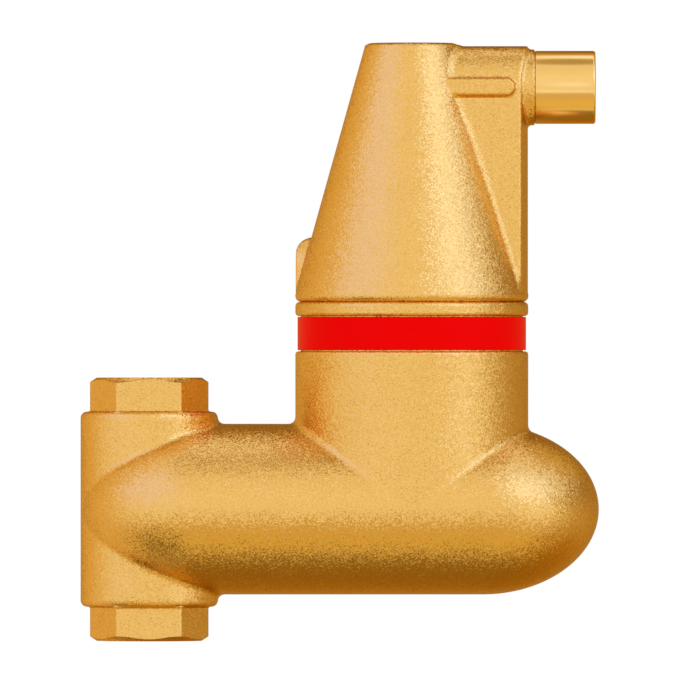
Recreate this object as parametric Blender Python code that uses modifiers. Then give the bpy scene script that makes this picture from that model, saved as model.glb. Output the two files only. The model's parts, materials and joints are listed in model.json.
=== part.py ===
"""Brass air separator with a float-operated vent, in metres with +Z up.

The pipe runs along Z through the origin, which lies on the lower port's face.
The chamber runs along +X from the pipe, and the tower with its vent head stands on it.
"""

import math

import bmesh
import bpy
from mathutils import Matrix, Vector

MM = 0.001

# Clearance between pieces that rest on each other or fit in each other
FIT = 0.3 * MM
# Clearance between pieces that slide on each other
SLIDE = 0.4 * MM
# How far two forms of one casting overlap, and how far a cutter passes its face
OVERLAP = 1.0 * MM
# A casting form stays this far inside the larger one whose surface it would share
INSET = 0.1 * MM
# Points nearer to each other than this are one point
MERGE_DISTANCE = 0.01 * MM
# Faces that meet at more than this are shaded with a sharp edge
SHARP_ANGLE = math.radians(35.0)

# Pipe boss and its threaded ports
FACE_TO_FACE = 77.4 * MM
BOSS_RADIUS = 20.3 * MM
BOSS_EDGE = 1.3 * MM
HEX_HEIGHT = 10.0 * MM
HEX_ACROSS_FLATS = 32.8 * MM
HEX_HALF_LENGTH = 17.4 * MM
HEX_CHAMFER = 1.9 * MM
HEX_CHAMFER_ANGLE = math.radians(35.0)
PORT_RADIUS = 12.06 * MM
PORT_DEPTH = 16.0 * MM
PORT_LEAD_IN = 1.3 * MM
BOSS_WALL = 3.5 * MM

# Chamber, a lying capsule with an oval section, as wide as the tower
CHAMBER_REACH = 132.2 * MM
CHAMBER_HALF_HEIGHT = 25.1 * MM
CHAMBER_WALL = 3.0 * MM
CHAMBER_TIP_INSET = 0.4 * MM

# Tower on the chamber
TOWER_DISTANCE = 77.2 * MM
TOWER_RADIUS = 34.25 * MM
TOWER_TOP = 99.65 * MM
TOWER_WALL = 3.25 * MM
TOWER_EDGE = 0.9 * MM
LEDGE_WIDTH = 1.5 * MM
LEDGE_ABOVE_CORE = 0.7 * MM

# Red band and its recess under the tower's rim
RIM_HEIGHT = 4.15 * MM
BAND_HEIGHT = 9.4 * MM
BAND_THICKNESS = 0.6 * MM
BAND_STEP = 0.65 * MM
RECESS_EDGE = 0.6 * MM

# Vent head, a cone with a web that carries the outlet barrel
HEAD_TOP = 175.8 * MM
HEAD_TOP_RADIUS = 13.55 * MM
HEAD_EDGE = 0.8 * MM
HEAD_RIM_HEIGHT = 1.85 * MM
HEAD_WALL = 3.0 * MM
HEAD_CROWN = 3.3 * MM
SKIRT_LENGTH = 15.2 * MM
SKIRT_WALL = 3.2 * MM
VENT_BELOW_TOP = 13.07 * MM
BARREL_RADIUS = 12.13 * MM
COLLAR_RADIUS = 11.15 * MM
COLLAR_LENGTH = 1.9 * MM
STRIP_HEIGHT = 5.8 * MM
STRIP_PROUD = 1.4 * MM
STRIP_END = 3.6 * MM
WEB_CORE_BELOW_VENT = 12.7 * MM
LUG_HALF_WIDTH = 9.5 * MM
LUG_TOP = 118.9 * MM
LUG_TURN = math.radians(163.0)

# Rubber rings
RING_SEAL_RADIUS = 0.85 * MM
SPIGOT_SEAL_RADIUS = 0.8 * MM

# Outlet spigot and valve seat
SPIGOT_RADIUS = 10.74 * MM
SPIGOT_LENGTH = 17.55 * MM
SPIGOT_CHAMFER = 0.6 * MM
SPIGOT_BORE = 4.5 * MM
SHANK_RADIUS = 8.0 * MM
SHANK_LENGTH = 11.6 * MM
SHANK_WAIST = 0.4 * MM
SEAT_FLANGE = 1.5 * MM
SEAT_TAIL = 4.3 * MM
NOZZLE_LENGTH = 2.0 * MM
NOZZLE_ROOT_RADIUS = 3.8 * MM
NOZZLE_TIP_RADIUS = 1.8 * MM
NOZZLE_BORE = 1.0 * MM

# Lever bracket
BRACKET_RING = 1.5 * MM
BRACKET_STEP = 1.3 * MM
CHEEK_THICKNESS = 1.0 * MM
CHEEK_HALF_GAP = 3.7 * MM
CHEEK_HALF_HEIGHT = 4.6 * MM
EYE_WALL = 1.0 * MM

# Lever and its pivot
FLOAT_ARM = 12.8 * MM
VALVE_ARM = 5.0 * MM
PIN_RADIUS = 0.75 * MM
HUB_RADIUS = 1.9 * MM
LEVER_HALF_WIDTH = 2.4 * MM
FLOAT_ARM_THICKNESS = 1.6 * MM
VALVE_ARM_THICKNESS = 1.8 * MM
ARM_PAST_ROD = 4.2 * MM
ARM_PAST_STEM = 2.0 * MM
SLOT_OUTER_PLAY = 1.5 * MM
SLOT_INNER_PLAY = 0.8 * MM

# Valve plunger and seal
STEM_RADIUS = 0.9 * MM
BEAD_RADIUS = 1.4 * MM
BEAD_GAP = 0.35 * MM
CUP_RADIUS = 3.2 * MM
CUP_WALL = 0.5 * MM
CUP_BACK = 0.7 * MM
CUP_DEPTH = 1.1 * MM
SEAL_THICKNESS = 1.3 * MM

# Float and its rod
ROD_RADIUS = 0.8 * MM
ROD_BALL_RADIUS = 1.6 * MM
ROD_BALL_GAP = 0.5 * MM
FLOAT_RADIUS = 22.0 * MM
FLOAT_ABOVE_CUP = 19.4 * MM
FLOAT_BELOW_PIVOT = 23.7 * MM
FLOAT_TRAVEL = 5.0 * MM
FLOAT_TOP_RADIUS = 12.0 * MM
FLOAT_WALL = 1.2 * MM
FLOAT_LIP = 2.0 * MM
FLOAT_EDGE = 2.5 * MM
FLOAT_BOSS_RADIUS = 3.0 * MM
FLOAT_BOSS_HEIGHT = 3.0 * MM
FLOAT_SOCKET_DEPTH = 6.0 * MM
# Shares of the float's height at which its halves meet and its cone starts
FLOAT_SEAM_SHARE = 0.42
FLOAT_CONE_SHARE = 0.58

# Separating rings, and the cup and screen that keep them in the chamber
RING_RADIUS = 8.0 * MM
RING_LENGTH = 16.0 * MM
RING_SHEET = 0.5 * MM
RING_GAP = 0.4 * MM
RING_WALL_GAP = 0.9 * MM
RING_DROP = 0.1 * MM
RING_WINDOW = 7.0 * MM
RING_TONGUE = 5.0 * MM
TONGUE_DROP = 1.75 * MM
RING_SIDES = 8
SHEET = 0.8 * MM
SCREEN_SHEET = 1.0 * MM
SCREEN_FROM_BOSS = 0.3 * MM
HOLE_RADIUS = 2.6 * MM
HOLE_PITCH = 8.3 * MM
# Rows of holes in the screen, and circles of holes in the cup's floor: how many holes,
# and how far out as a share of the floor's radius
SCREEN_ROWS = (4, 5, 4)
CUP_CIRCLES = ((6, 0.33), (10, 0.75))

# Facets of the round forms
LARGE_STEPS = 48
BOSS_STEPS = 32
MEDIUM_STEPS = 24
SMALL_STEPS = 12
CHAMBER_SEGMENTS = 32
CHAMBER_RINGS = 12

# Places that follow from the sizes above
CHAMBER_Z = FACE_TO_FACE / 2
CHAMBER_LEFT = TOWER_RADIUS - BOSS_RADIUS + CHAMBER_TIP_INSET
CHAMBER_RIGHT = CHAMBER_REACH - TOWER_RADIUS
CORE_HALF_WIDTH = TOWER_RADIUS - CHAMBER_WALL
CORE_HALF_HEIGHT = CHAMBER_HALF_HEIGHT - CHAMBER_WALL
TOWER_BORE = TOWER_RADIUS - TOWER_WALL
LEDGE_Z = CHAMBER_Z + CORE_HALF_HEIGHT + LEDGE_ABOVE_CORE
BAND_RADIUS = TOWER_RADIUS - BAND_STEP
RECESS_RADIUS = BAND_RADIUS - BAND_THICKNESS - FIT
RECESS_TOP = TOWER_TOP - RIM_HEIGHT
RECESS_BOTTOM = RECESS_TOP - BAND_HEIGHT - 2 * FIT

HEAD_BASE = TOWER_TOP + FIT
CONE_BASE = HEAD_BASE + HEAD_RIM_HEIGHT
CONE_SLOPE = (TOWER_RADIUS - HEAD_TOP_RADIUS) / (HEAD_TOP - CONE_BASE)
CONE_WALL = HEAD_WALL * math.hypot(1.0, CONE_SLOPE)
SKIRT_RADIUS = TOWER_BORE - FIT
SKIRT_BORE = SKIRT_RADIUS - SKIRT_WALL
SKIRT_BOTTOM = HEAD_BASE - SKIRT_LENGTH
SEAL_GROOVE = 2 * (RING_SEAL_RADIUS + FIT)

VENT_Z = HEAD_TOP - VENT_BELOW_TOP
BARREL_END = TOWER_DISTANCE + TOWER_RADIUS
COLLAR_END = BARREL_END + COLLAR_LENGTH
SPIGOT_GROOVE = 2 * (SPIGOT_SEAL_RADIUS + FIT)
SPIGOT_START = COLLAR_END + FIT
SPIGOT_END = SPIGOT_START + SPIGOT_LENGTH
WAIST_RADIUS = SHANK_RADIUS - SHANK_WAIST
SHANK_START = SPIGOT_START - SHANK_LENGTH
SEAT_BACK = SHANK_START - FIT
SEAT_FRONT = SEAT_BACK - SEAT_FLANGE
NOZZLE_TIP = SEAT_FRONT - NOZZLE_LENGTH
BRACKET_BACK = SEAT_FRONT - FIT
BRACKET_FRONT = BRACKET_BACK - BRACKET_RING
BARREL_BORE = SHANK_RADIUS + FIT
BARREL_STEP = BRACKET_FRONT - FIT

PIVOT_X = TOWER_DISTANCE + FLOAT_ARM
PIVOT_Z = VENT_Z - VALVE_ARM
PIN_HOLE = PIN_RADIUS + FIT
LEVER_ANGLE = math.atan(FLOAT_TRAVEL / FLOAT_ARM)
PLUNGER_TRAVEL = VALVE_ARM * math.tan(LEVER_ANGLE)
BEAD_OFFSET = VALVE_ARM_THICKNESS / 2 + BEAD_RADIUS + BEAD_GAP
ROD_BALL_OFFSET = FLOAT_ARM_THICKNESS / 2 + ROD_BALL_RADIUS + ROD_BALL_GAP
SEAL_RADIUS = CUP_RADIUS - CUP_WALL - FIT
VALVE_GAP = PLUNGER_TRAVEL + 0.5 * FIT
SEAL_FACE = NOZZLE_TIP - VALVE_GAP
SEAL_BACK = SEAL_FACE - SEAL_THICKNESS
CUP_FLOOR = SEAL_BACK - FIT

SCREEN_X = BOSS_RADIUS + SCREEN_FROM_BOSS
CUP_BOTTOM = LEDGE_Z + FIT
FLOAT_BOTTOM = CUP_BOTTOM + SHEET + FLOAT_ABOVE_CUP
FLOAT_TOP = PIVOT_Z - FLOAT_BELOW_PIVOT
FLOAT_SEAM = FLOAT_BOTTOM + FLOAT_SEAM_SHARE * (FLOAT_TOP - FLOAT_BOTTOM)
FLOAT_SHOULDER = FLOAT_BOTTOM + FLOAT_CONE_SHARE * (FLOAT_TOP - FLOAT_BOTTOM)


def new_material(name, colour, metallic, roughness):
    """A Principled material for one kind of finish."""
    material = bpy.data.materials.new(name)
    material.use_nodes = True
    shader = material.node_tree.nodes["Principled BSDF"]
    shader.inputs["Base Color"].default_value = (*colour, 1.0)
    shader.inputs["Metallic"].default_value = metallic
    shader.inputs["Roughness"].default_value = roughness
    material.diffuse_color = (*colour, 1.0)
    return material


def new_collection(name):
    """A collection in the scene."""
    collection = bpy.data.collections.new(name)
    bpy.context.scene.collection.children.link(collection)
    return collection


def smooth(mesh):
    """Smooth shading with the corners kept sharp."""
    mesh.shade_smooth()
    mesh.set_sharp_from_angle(angle=SHARP_ANGLE)


def add_part(name, mesh, material):
    """A named piece of the assembly."""
    part = bpy.data.objects.new(name, mesh)
    part.data.materials.append(material)
    smooth(part.data)
    PARTS.objects.link(part)
    return part


def add_form(name, mesh):
    """A helper form, which is joined to a piece or cut from it."""
    form = bpy.data.objects.new(name, mesh)
    form.hide_render = True
    form.display_type = "WIRE"
    FORMS.objects.link(form)
    return form


def combine(target, form, operation):
    """A Boolean of the form on the target."""
    modifier = target.modifiers.new(form.name, "BOOLEAN")
    modifier.operation = operation
    modifier.object = form
    modifier.solver = "EXACT"


def weld(thing):
    """Points that lie on each other made one."""
    modifier = thing.modifiers.new("weld", "WELD")
    modifier.merge_threshold = MERGE_DISTANCE


def turned_mesh(name, outline, closed):
    """The profile of a turned shape, as edges in the XZ plane."""
    shape = bmesh.new()
    points = [shape.verts.new((radius, 0.0, height)) for radius, height in outline]
    for start, end in zip(points, points[1:]):
        shape.edges.new((start, end))
    if closed:
        shape.edges.new((points[-1], points[0]))
    mesh = bpy.data.meshes.new(name)
    shape.to_mesh(mesh)
    shape.free()
    return mesh


def turn(thing, steps):
    """A full turn about the object's Z axis."""
    screw = thing.modifiers.new("turn", "SCREW")
    screw.steps = steps
    screw.render_steps = steps
    screw.use_merge_vertices = True
    screw.merge_threshold = MERGE_DISTANCE
    screw.use_smooth_shade = True


def turned_part(name, outline, material, steps, closed=True):
    """A turned piece, whose outline runs down its outer side."""
    part = add_part(name, turned_mesh(name, outline, closed), material)
    turn(part, steps)
    return part


def turned_form(name, outline, steps, closed=False):
    """A turned helper form."""
    form = add_form(name, turned_mesh(name, outline, closed))
    turn(form, steps)
    return form


def place(thing, x, z, along_x=False, y=0.0):
    """The object at its place, with its own Z axis up or along X."""
    thing.location = (x, y, z)
    if along_x:
        thing.rotation_euler = (0.0, math.pi / 2, 0.0)
    return thing


def half_step(thing, steps):
    """The round form turned by half a facet, so that a flat faces Y."""
    thing.rotation_euler = (0.0, 0.0, math.pi / steps)
    return thing


def arc(centre, radius, start, end, steps):
    """Points on an arc, with its angles in degrees."""
    turns = [math.radians(start + (end - start) * step / steps) for step in range(steps + 1)]
    return [(centre[0] + radius * math.cos(a), centre[1] + radius * math.sin(a)) for a in turns]


def extruded_mesh(name, outline, thickness):
    """A flat outline in the XY plane, thickened about that plane."""
    curve = bpy.data.curves.new(name, "CURVE")
    curve.dimensions = "2D"
    curve.fill_mode = "BOTH"
    curve.extrude = thickness / 2
    spline = curve.splines.new("POLY")
    spline.points.add(len(outline) - 1)
    for point, (x, y) in zip(spline.points, outline):
        point.co = (x, y, 0.0, 1.0)
    spline.use_cyclic_u = True
    guide = bpy.data.objects.new(name, curve)
    FORMS.objects.link(guide)
    bpy.context.view_layer.update()
    graph = bpy.context.evaluated_depsgraph_get()
    mesh = bpy.data.meshes.new_from_object(guide.evaluated_get(graph))
    bpy.data.objects.remove(guide)
    shape = bmesh.new()
    shape.from_mesh(mesh)
    bmesh.ops.remove_doubles(shape, verts=shape.verts, dist=MERGE_DISTANCE)
    bmesh.ops.recalc_face_normals(shape, faces=shape.faces)
    shape.to_mesh(mesh)
    shape.free()
    return mesh


def box_mesh(name, low, high):
    """A box between two corners."""
    shape = bmesh.new()
    bmesh.ops.create_cube(shape, size=1.0)
    size = Vector(high) - Vector(low)
    middle = (Vector(high) + Vector(low)) / 2
    bmesh.ops.transform(shape, matrix=Matrix.Diagonal((*size, 1.0)), verts=shape.verts)
    bmesh.ops.translate(shape, vec=middle, verts=shape.verts)
    mesh = bpy.data.meshes.new(name)
    shape.to_mesh(mesh)
    shape.free()
    return mesh


def cylinders_mesh(name, places, radius, length, sides):
    """Equal upright cylinders about the given places, as one cutter."""
    shape = bmesh.new()
    for x, y in places:
        bmesh.ops.create_cone(
            shape,
            cap_ends=True,
            segments=sides,
            radius1=radius,
            radius2=radius,
            depth=length,
            matrix=Matrix.Translation((x, y, 0.0)),
        )
    mesh = bpy.data.meshes.new(name)
    shape.to_mesh(mesh)
    shape.free()
    return mesh


def capsule_mesh(name, half_width, half_height):
    """A flattened ball, parted at its middle and drawn out along X between the end centres."""
    shape = bmesh.new()
    oval = Matrix.Diagonal((half_width, half_width, half_height, 1.0))
    lying = Matrix.Rotation(math.pi / 2, 4, "Y")
    bmesh.ops.create_uvsphere(
        shape,
        u_segments=CHAMBER_SEGMENTS,
        v_segments=CHAMBER_RINGS,
        radius=1.0,
        matrix=oval @ lying,
    )
    middle = [edge for edge in shape.edges if all(abs(v.co.x) < OVERLAP for v in edge.verts)]
    bmesh.ops.split_edges(shape, edges=middle)
    right = {v for face in shape.faces if face.calc_center_median().x > 0 for v in face.verts}
    left = [v for v in shape.verts if v not in right]
    bmesh.ops.translate(shape, vec=(CHAMBER_RIGHT, 0.0, CHAMBER_Z), verts=list(right))
    bmesh.ops.translate(shape, vec=(CHAMBER_LEFT, 0.0, CHAMBER_Z), verts=left)
    bmesh.ops.bridge_loops(shape, edges=[edge for edge in shape.edges if edge.is_boundary])
    bmesh.ops.recalc_face_normals(shape, faces=shape.faces)
    mesh = bpy.data.meshes.new(name)
    shape.to_mesh(mesh)
    shape.free()
    return mesh


def cone_radius(height):
    """The head's outer radius at a height."""
    return HEAD_TOP_RADIUS + CONE_SLOPE * (HEAD_TOP - height)


def tower_form():
    """The tower's outside, from its rim down to the middle of the chamber."""
    rim_edge = arc((TOWER_RADIUS - TOWER_EDGE, TOWER_TOP - TOWER_EDGE), TOWER_EDGE, 90, 0, 2)
    outline = [
        (0.0, TOWER_TOP),
        *rim_edge,
        (TOWER_RADIUS, RECESS_TOP + RECESS_EDGE),
        (TOWER_RADIUS - RECESS_EDGE, RECESS_TOP),
        (RECESS_RADIUS, RECESS_TOP),
        (RECESS_RADIUS, RECESS_BOTTOM),
        (TOWER_RADIUS - RECESS_EDGE, RECESS_BOTTOM),
        (TOWER_RADIUS, RECESS_BOTTOM - RECESS_EDGE),
        (TOWER_RADIUS, CHAMBER_Z + INSET),
        (0.0, CHAMBER_Z + INSET),
    ]
    form = turned_form("tower_form", outline, LARGE_STEPS)
    return half_step(place(form, TOWER_DISTANCE, 0.0), LARGE_STEPS)


def tower_core():
    """The tower's bore, with the ledge for the ring cup and the seal's groove."""
    groove_radius = SKIRT_RADIUS + SEAL_GROOVE
    outline = [
        (0.0, TOWER_TOP + OVERLAP),
        (groove_radius, TOWER_TOP + OVERLAP),
        (groove_radius, TOWER_TOP - SEAL_GROOVE),
        (TOWER_BORE, TOWER_TOP - SEAL_GROOVE),
        (TOWER_BORE, LEDGE_Z),
        (TOWER_BORE - LEDGE_WIDTH, LEDGE_Z),
        (TOWER_BORE - LEDGE_WIDTH, CHAMBER_Z + OVERLAP),
        (0.0, CHAMBER_Z + OVERLAP),
    ]
    form = turned_form("tower_core", outline, LARGE_STEPS)
    return half_step(place(form, TOWER_DISTANCE, 0.0), LARGE_STEPS)


def boss_form():
    """The round boss that the pipe runs through."""
    top = FACE_TO_FACE - HEX_HEIGHT
    edge = BOSS_RADIUS - BOSS_EDGE
    outline = [
        (0.0, top),
        *arc((edge, top - BOSS_EDGE), BOSS_EDGE, 90, 0, 2),
        *arc((edge, HEX_HEIGHT + BOSS_EDGE), BOSS_EDGE, 0, -90, 2),
        (0.0, HEX_HEIGHT),
    ]
    return half_step(turned_form("boss_form", outline, BOSS_STEPS), BOSS_STEPS)


def hexagon_form():
    """The spanner flats of both ports, with their side corners trimmed and their ends chamfered."""
    corner = HEX_ACROSS_FLATS / math.sqrt(3.0)
    trim = (corner - HEX_HALF_LENGTH) * math.sqrt(3.0)
    quarter = [(HEX_HALF_LENGTH, trim), (corner / 2, HEX_ACROSS_FLATS / 2)]
    right = [(x, -y) for x, y in reversed(quarter)] + quarter
    outline = right + [(-x, -y) for x, y in right]
    length = FACE_TO_FACE + 2 * OVERLAP
    form = add_form("hexagon_form", extruded_mesh("hexagon_form", outline, length))
    place(form, 0.0, CHAMBER_Z)
    end_radius = HEX_ACROSS_FLATS / 2 - HEX_CHAMFER / 2
    full = corner + OVERLAP
    drop = (full - end_radius) * math.tan(HEX_CHAMFER_ANGLE)
    ends = [
        (0.0, FACE_TO_FACE),
        (end_radius, FACE_TO_FACE),
        (full, FACE_TO_FACE - drop),
        (full, drop),
        (end_radius, 0.0),
        (0.0, 0.0),
    ]
    ends_form = half_step(turned_form("hexagon_ends", ends, BOSS_STEPS), BOSS_STEPS)
    combine(form, ends_form, "INTERSECT")
    weld(form)
    return form


def pipe_core():
    """The bore from port to port, wider between the two threads."""
    wide = BOSS_RADIUS - BOSS_WALL
    widening = wide - PORT_RADIUS
    lower = [
        (PORT_RADIUS + PORT_LEAD_IN + OVERLAP, -OVERLAP),
        (PORT_RADIUS, PORT_LEAD_IN),
        (PORT_RADIUS, PORT_DEPTH),
        (wide, PORT_DEPTH + widening),
    ]
    upper = [(radius, FACE_TO_FACE - height) for radius, height in lower]
    outline = [
        (0.0, FACE_TO_FACE + OVERLAP),
        *upper,
        *reversed(lower),
        (0.0, -OVERLAP),
    ]
    return half_step(turned_form("pipe_core", outline, BOSS_STEPS), BOSS_STEPS)


def make_body_casting():
    """The chamber, tower, boss and ports, cast in one and hollow."""
    mesh = capsule_mesh("body_casting", TOWER_RADIUS, CHAMBER_HALF_HEIGHT)
    body = add_part("body_casting", mesh, CAST_BRASS)
    combine(body, tower_form(), "UNION")
    combine(body, boss_form(), "UNION")
    combine(body, hexagon_form(), "UNION")
    core = capsule_mesh("chamber_core", CORE_HALF_WIDTH, CORE_HALF_HEIGHT)
    combine(body, add_form("chamber_core", core), "DIFFERENCE")
    combine(body, pipe_core(), "DIFFERENCE")
    combine(body, tower_core(), "DIFFERENCE")


def arch_outline(half_width, top, bottom):
    """An upright arch about its X = 0 line, with Y as its height."""
    crown = arc((0.0, top - half_width), half_width, 0, 180, MEDIUM_STEPS // 2)
    return [(half_width, bottom), *crown, (-half_width, bottom)]


def radial_form(name, outline, length, direction):
    """An upright outline that runs outwards from the tower's axis in a direction."""
    form = add_form(name, extruded_mesh(name, outline, length))
    upright = Matrix.Rotation(math.pi / 2, 4, "X")
    facing = Matrix.Rotation(direction + math.pi / 2, 4, "Z")
    outwards = Vector((math.cos(direction), math.sin(direction), 0.0)) * length / 2
    middle = Vector((TOWER_DISTANCE, 0.0, 0.0)) + outwards
    form.matrix_world = Matrix.Translation(middle) @ facing @ upright
    return form


def outer_limit(name, low, high, radius):
    """An upright cylinder about the tower's axis, which ends the forms on the cone."""
    outline = [(0.0, high), (radius, high), (radius, low), (0.0, low)]
    form = turned_form(name, outline, LARGE_STEPS)
    return half_step(place(form, TOWER_DISTANCE, 0.0), LARGE_STEPS)


def web_form():
    """The barrel and the web under it, as one arch out to the tower's radius."""
    outline = arch_outline(BARREL_RADIUS, VENT_Z + BARREL_RADIUS, CONE_BASE - OVERLAP)
    form = radial_form("web_form", outline, TOWER_RADIUS + OVERLAP, 0.0)
    limit = outer_limit("web_limit", HEAD_BASE, HEAD_TOP + OVERLAP, TOWER_RADIUS - INSET)
    combine(form, limit, "INTERSECT")
    return form


def lug_form():
    """The arched lug at the back of the cone's foot."""
    outline = arch_outline(LUG_HALF_WIDTH, LUG_TOP, CONE_BASE - OVERLAP)
    form = radial_form("lug_form", outline, TOWER_RADIUS + OVERLAP, LUG_TURN)
    limit = outer_limit("lug_limit", HEAD_BASE, HEAD_TOP, TOWER_RADIUS - INSET)
    combine(form, limit, "INTERSECT")
    return form


def strip_form():
    """The raised strip along the barrel's middle, on both sides of the web."""
    half = STRIP_HEIGHT / 2
    start = TOWER_DISTANCE + HEAD_TOP_RADIUS / 2
    end = BARREL_END - STRIP_END - half
    outline = [(start, -half), *arc((end, 0.0), half, -90, 90, 6), (start, half)]
    mesh = extruded_mesh("strip_form", outline, 2 * (BARREL_RADIUS + STRIP_PROUD))
    form = add_form("strip_form", mesh)
    form.location = (0.0, 0.0, VENT_Z)
    form.rotation_euler = (math.pi / 2, 0.0, 0.0)
    return form


def collar_form():
    """The short collar at the barrel's end."""
    outline = [
        (0.0, COLLAR_END),
        (COLLAR_RADIUS, COLLAR_END),
        (COLLAR_RADIUS, BARREL_END - BARREL_RADIUS / 2),
        (0.0, BARREL_END - BARREL_RADIUS / 2),
    ]
    return place(turned_form("collar_form", outline, MEDIUM_STEPS), 0.0, VENT_Z, along_x=True)


def head_core():
    """The float's space inside the skirt and the cone."""
    crown_z = HEAD_TOP - HEAD_CROWN
    straight_top = HEAD_TOP - (SKIRT_BORE + CONE_WALL - HEAD_TOP_RADIUS) / CONE_SLOPE
    outline = [
        (0.0, crown_z),
        (cone_radius(crown_z) - CONE_WALL, crown_z),
        (SKIRT_BORE, straight_top),
        (SKIRT_BORE, SKIRT_BOTTOM - OVERLAP),
        (0.0, SKIRT_BOTTOM - OVERLAP),
    ]
    form = turned_form("head_core", outline, LARGE_STEPS)
    return half_step(place(form, TOWER_DISTANCE, 0.0), LARGE_STEPS)


def web_core():
    """The hollow in the web under the barrel."""
    half_width = BARREL_RADIUS - HEAD_WALL
    bottom = CONE_BASE + HEAD_WALL
    outline = arch_outline(half_width, VENT_Z - WEB_CORE_BELOW_VENT, bottom)
    form = radial_form("web_core", outline, TOWER_RADIUS, 0.0)
    limit = outer_limit("web_core_limit", HEAD_BASE, HEAD_TOP, TOWER_RADIUS - HEAD_WALL)
    combine(form, limit, "INTERSECT")
    return form


def barrel_core():
    """The stepped bore of the barrel, for the bracket, the seat, the spigot and its ring."""
    step_bore = BARREL_BORE - BRACKET_STEP
    groove_radius = WAIST_RADIUS + SPIGOT_GROOVE
    outline = [
        (0.0, COLLAR_END + OVERLAP),
        (groove_radius, COLLAR_END + OVERLAP),
        (groove_radius, COLLAR_END - SPIGOT_GROOVE),
        (BARREL_BORE, COLLAR_END - SPIGOT_GROOVE),
        (BARREL_BORE, BARREL_STEP),
        (step_bore, BARREL_STEP),
        (step_bore, TOWER_DISTANCE),
        (0.0, TOWER_DISTANCE),
    ]
    return place(turned_form("barrel_core", outline, MEDIUM_STEPS), 0.0, VENT_Z, along_x=True)


def make_vent_head():
    """The cone with its skirt, web, barrel, collar, strips and lug, cast in one and hollow."""
    side = math.degrees(math.atan(CONE_SLOPE))
    outline = [
        (0.0, HEAD_TOP),
        *arc((HEAD_TOP_RADIUS - HEAD_EDGE, HEAD_TOP - HEAD_EDGE), HEAD_EDGE, 90, side, 2),
        (TOWER_RADIUS, CONE_BASE),
        *arc((TOWER_RADIUS - TOWER_EDGE, HEAD_BASE + TOWER_EDGE), TOWER_EDGE, 0, -90, 2),
        (SKIRT_RADIUS, HEAD_BASE),
        (SKIRT_RADIUS, SKIRT_BOTTOM),
        (0.0, SKIRT_BOTTOM),
    ]
    head = turned_part("vent_head", outline, CAST_BRASS, LARGE_STEPS, closed=False)
    half_step(place(head, TOWER_DISTANCE, 0.0), LARGE_STEPS)
    for form in (web_form(), lug_form(), strip_form(), collar_form()):
        combine(head, form, "UNION")
    for core in (head_core(), web_core(), barrel_core()):
        combine(head, core, "DIFFERENCE")


def make_seal_ring(name, radius, thickness_radius, steps):
    """A rubber ring of round section."""
    outline = arc((radius, 0.0), thickness_radius, 90, -270, 6)[:-1]
    return turned_part(name, outline, RUBBER, steps)


def make_rubber_rings():
    """The ring between tower and head, and the one behind the spigot's shoulder."""
    head_ring = SKIRT_RADIUS + SEAL_GROOVE / 2
    ring = make_seal_ring("head_seal_ring", head_ring, RING_SEAL_RADIUS, LARGE_STEPS)
    half_step(place(ring, TOWER_DISTANCE, TOWER_TOP - SEAL_GROOVE / 2), LARGE_STEPS)
    spigot_ring = WAIST_RADIUS + SPIGOT_GROOVE / 2
    ring = make_seal_ring("spigot_seal_ring", spigot_ring, SPIGOT_SEAL_RADIUS, MEDIUM_STEPS)
    place(ring, COLLAR_END - SPIGOT_GROOVE / 2, VENT_Z, along_x=True)


def make_label_band():
    """The plain red band in the tower's recess."""
    low = RECESS_BOTTOM + FIT
    high = RECESS_TOP - FIT
    inner = BAND_RADIUS - BAND_THICKNESS
    outline = [(BAND_RADIUS, high), (BAND_RADIUS, low), (inner, low), (inner, high)]
    band = turned_part("label_band", outline, RED_BAND, LARGE_STEPS)
    half_step(place(band, TOWER_DISTANCE, 0.0), LARGE_STEPS)


def make_vent_spigot():
    """The turned outlet, with its shank in the barrel."""
    outline = [
        (SPIGOT_BORE + SPIGOT_CHAMFER, SPIGOT_END),
        (SPIGOT_RADIUS - SPIGOT_CHAMFER, SPIGOT_END),
        (SPIGOT_RADIUS, SPIGOT_END - SPIGOT_CHAMFER),
        (SPIGOT_RADIUS, SPIGOT_START),
        (WAIST_RADIUS, SPIGOT_START),
        (WAIST_RADIUS, COLLAR_END - SPIGOT_GROOVE),
        (SHANK_RADIUS, COLLAR_END - SPIGOT_GROOVE - SHANK_WAIST),
        (SHANK_RADIUS, SHANK_START),
        (SPIGOT_BORE, SHANK_START),
        (SPIGOT_BORE, SPIGOT_END - SPIGOT_CHAMFER),
    ]
    spigot = turned_part("vent_spigot", outline, TURNED_BRASS, BOSS_STEPS)
    place(spigot, 0.0, VENT_Z, along_x=True)


def make_valve_seat():
    """The nozzle that the seal closes, clamped behind the bracket by the spigot."""
    tail_radius = SPIGOT_BORE - FIT
    outline = [
        (tail_radius, SEAT_BACK + SEAT_TAIL),
        (tail_radius, SEAT_BACK),
        (SHANK_RADIUS, SEAT_BACK),
        (SHANK_RADIUS, SEAT_FRONT),
        (NOZZLE_ROOT_RADIUS, SEAT_FRONT),
        (NOZZLE_TIP_RADIUS, NOZZLE_TIP),
        (NOZZLE_BORE, NOZZLE_TIP),
        (NOZZLE_BORE, SEAT_BACK + SEAT_TAIL),
    ]
    seat = turned_part("valve_seat", outline, TURNED_BRASS, MEDIUM_STEPS)
    place(seat, 0.0, VENT_Z, along_x=True)


def bore(target, name, x, z, radius, half_length):
    """A hole along Y."""
    hole = add_form(name, cylinders_mesh(name, [(0.0, 0.0)], radius, 2 * half_length, SMALL_STEPS))
    hole.location = (x, 0.0, z)
    hole.rotation_euler = (math.pi / 2, 0.0, 0.0)
    combine(target, hole, "DIFFERENCE")


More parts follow.
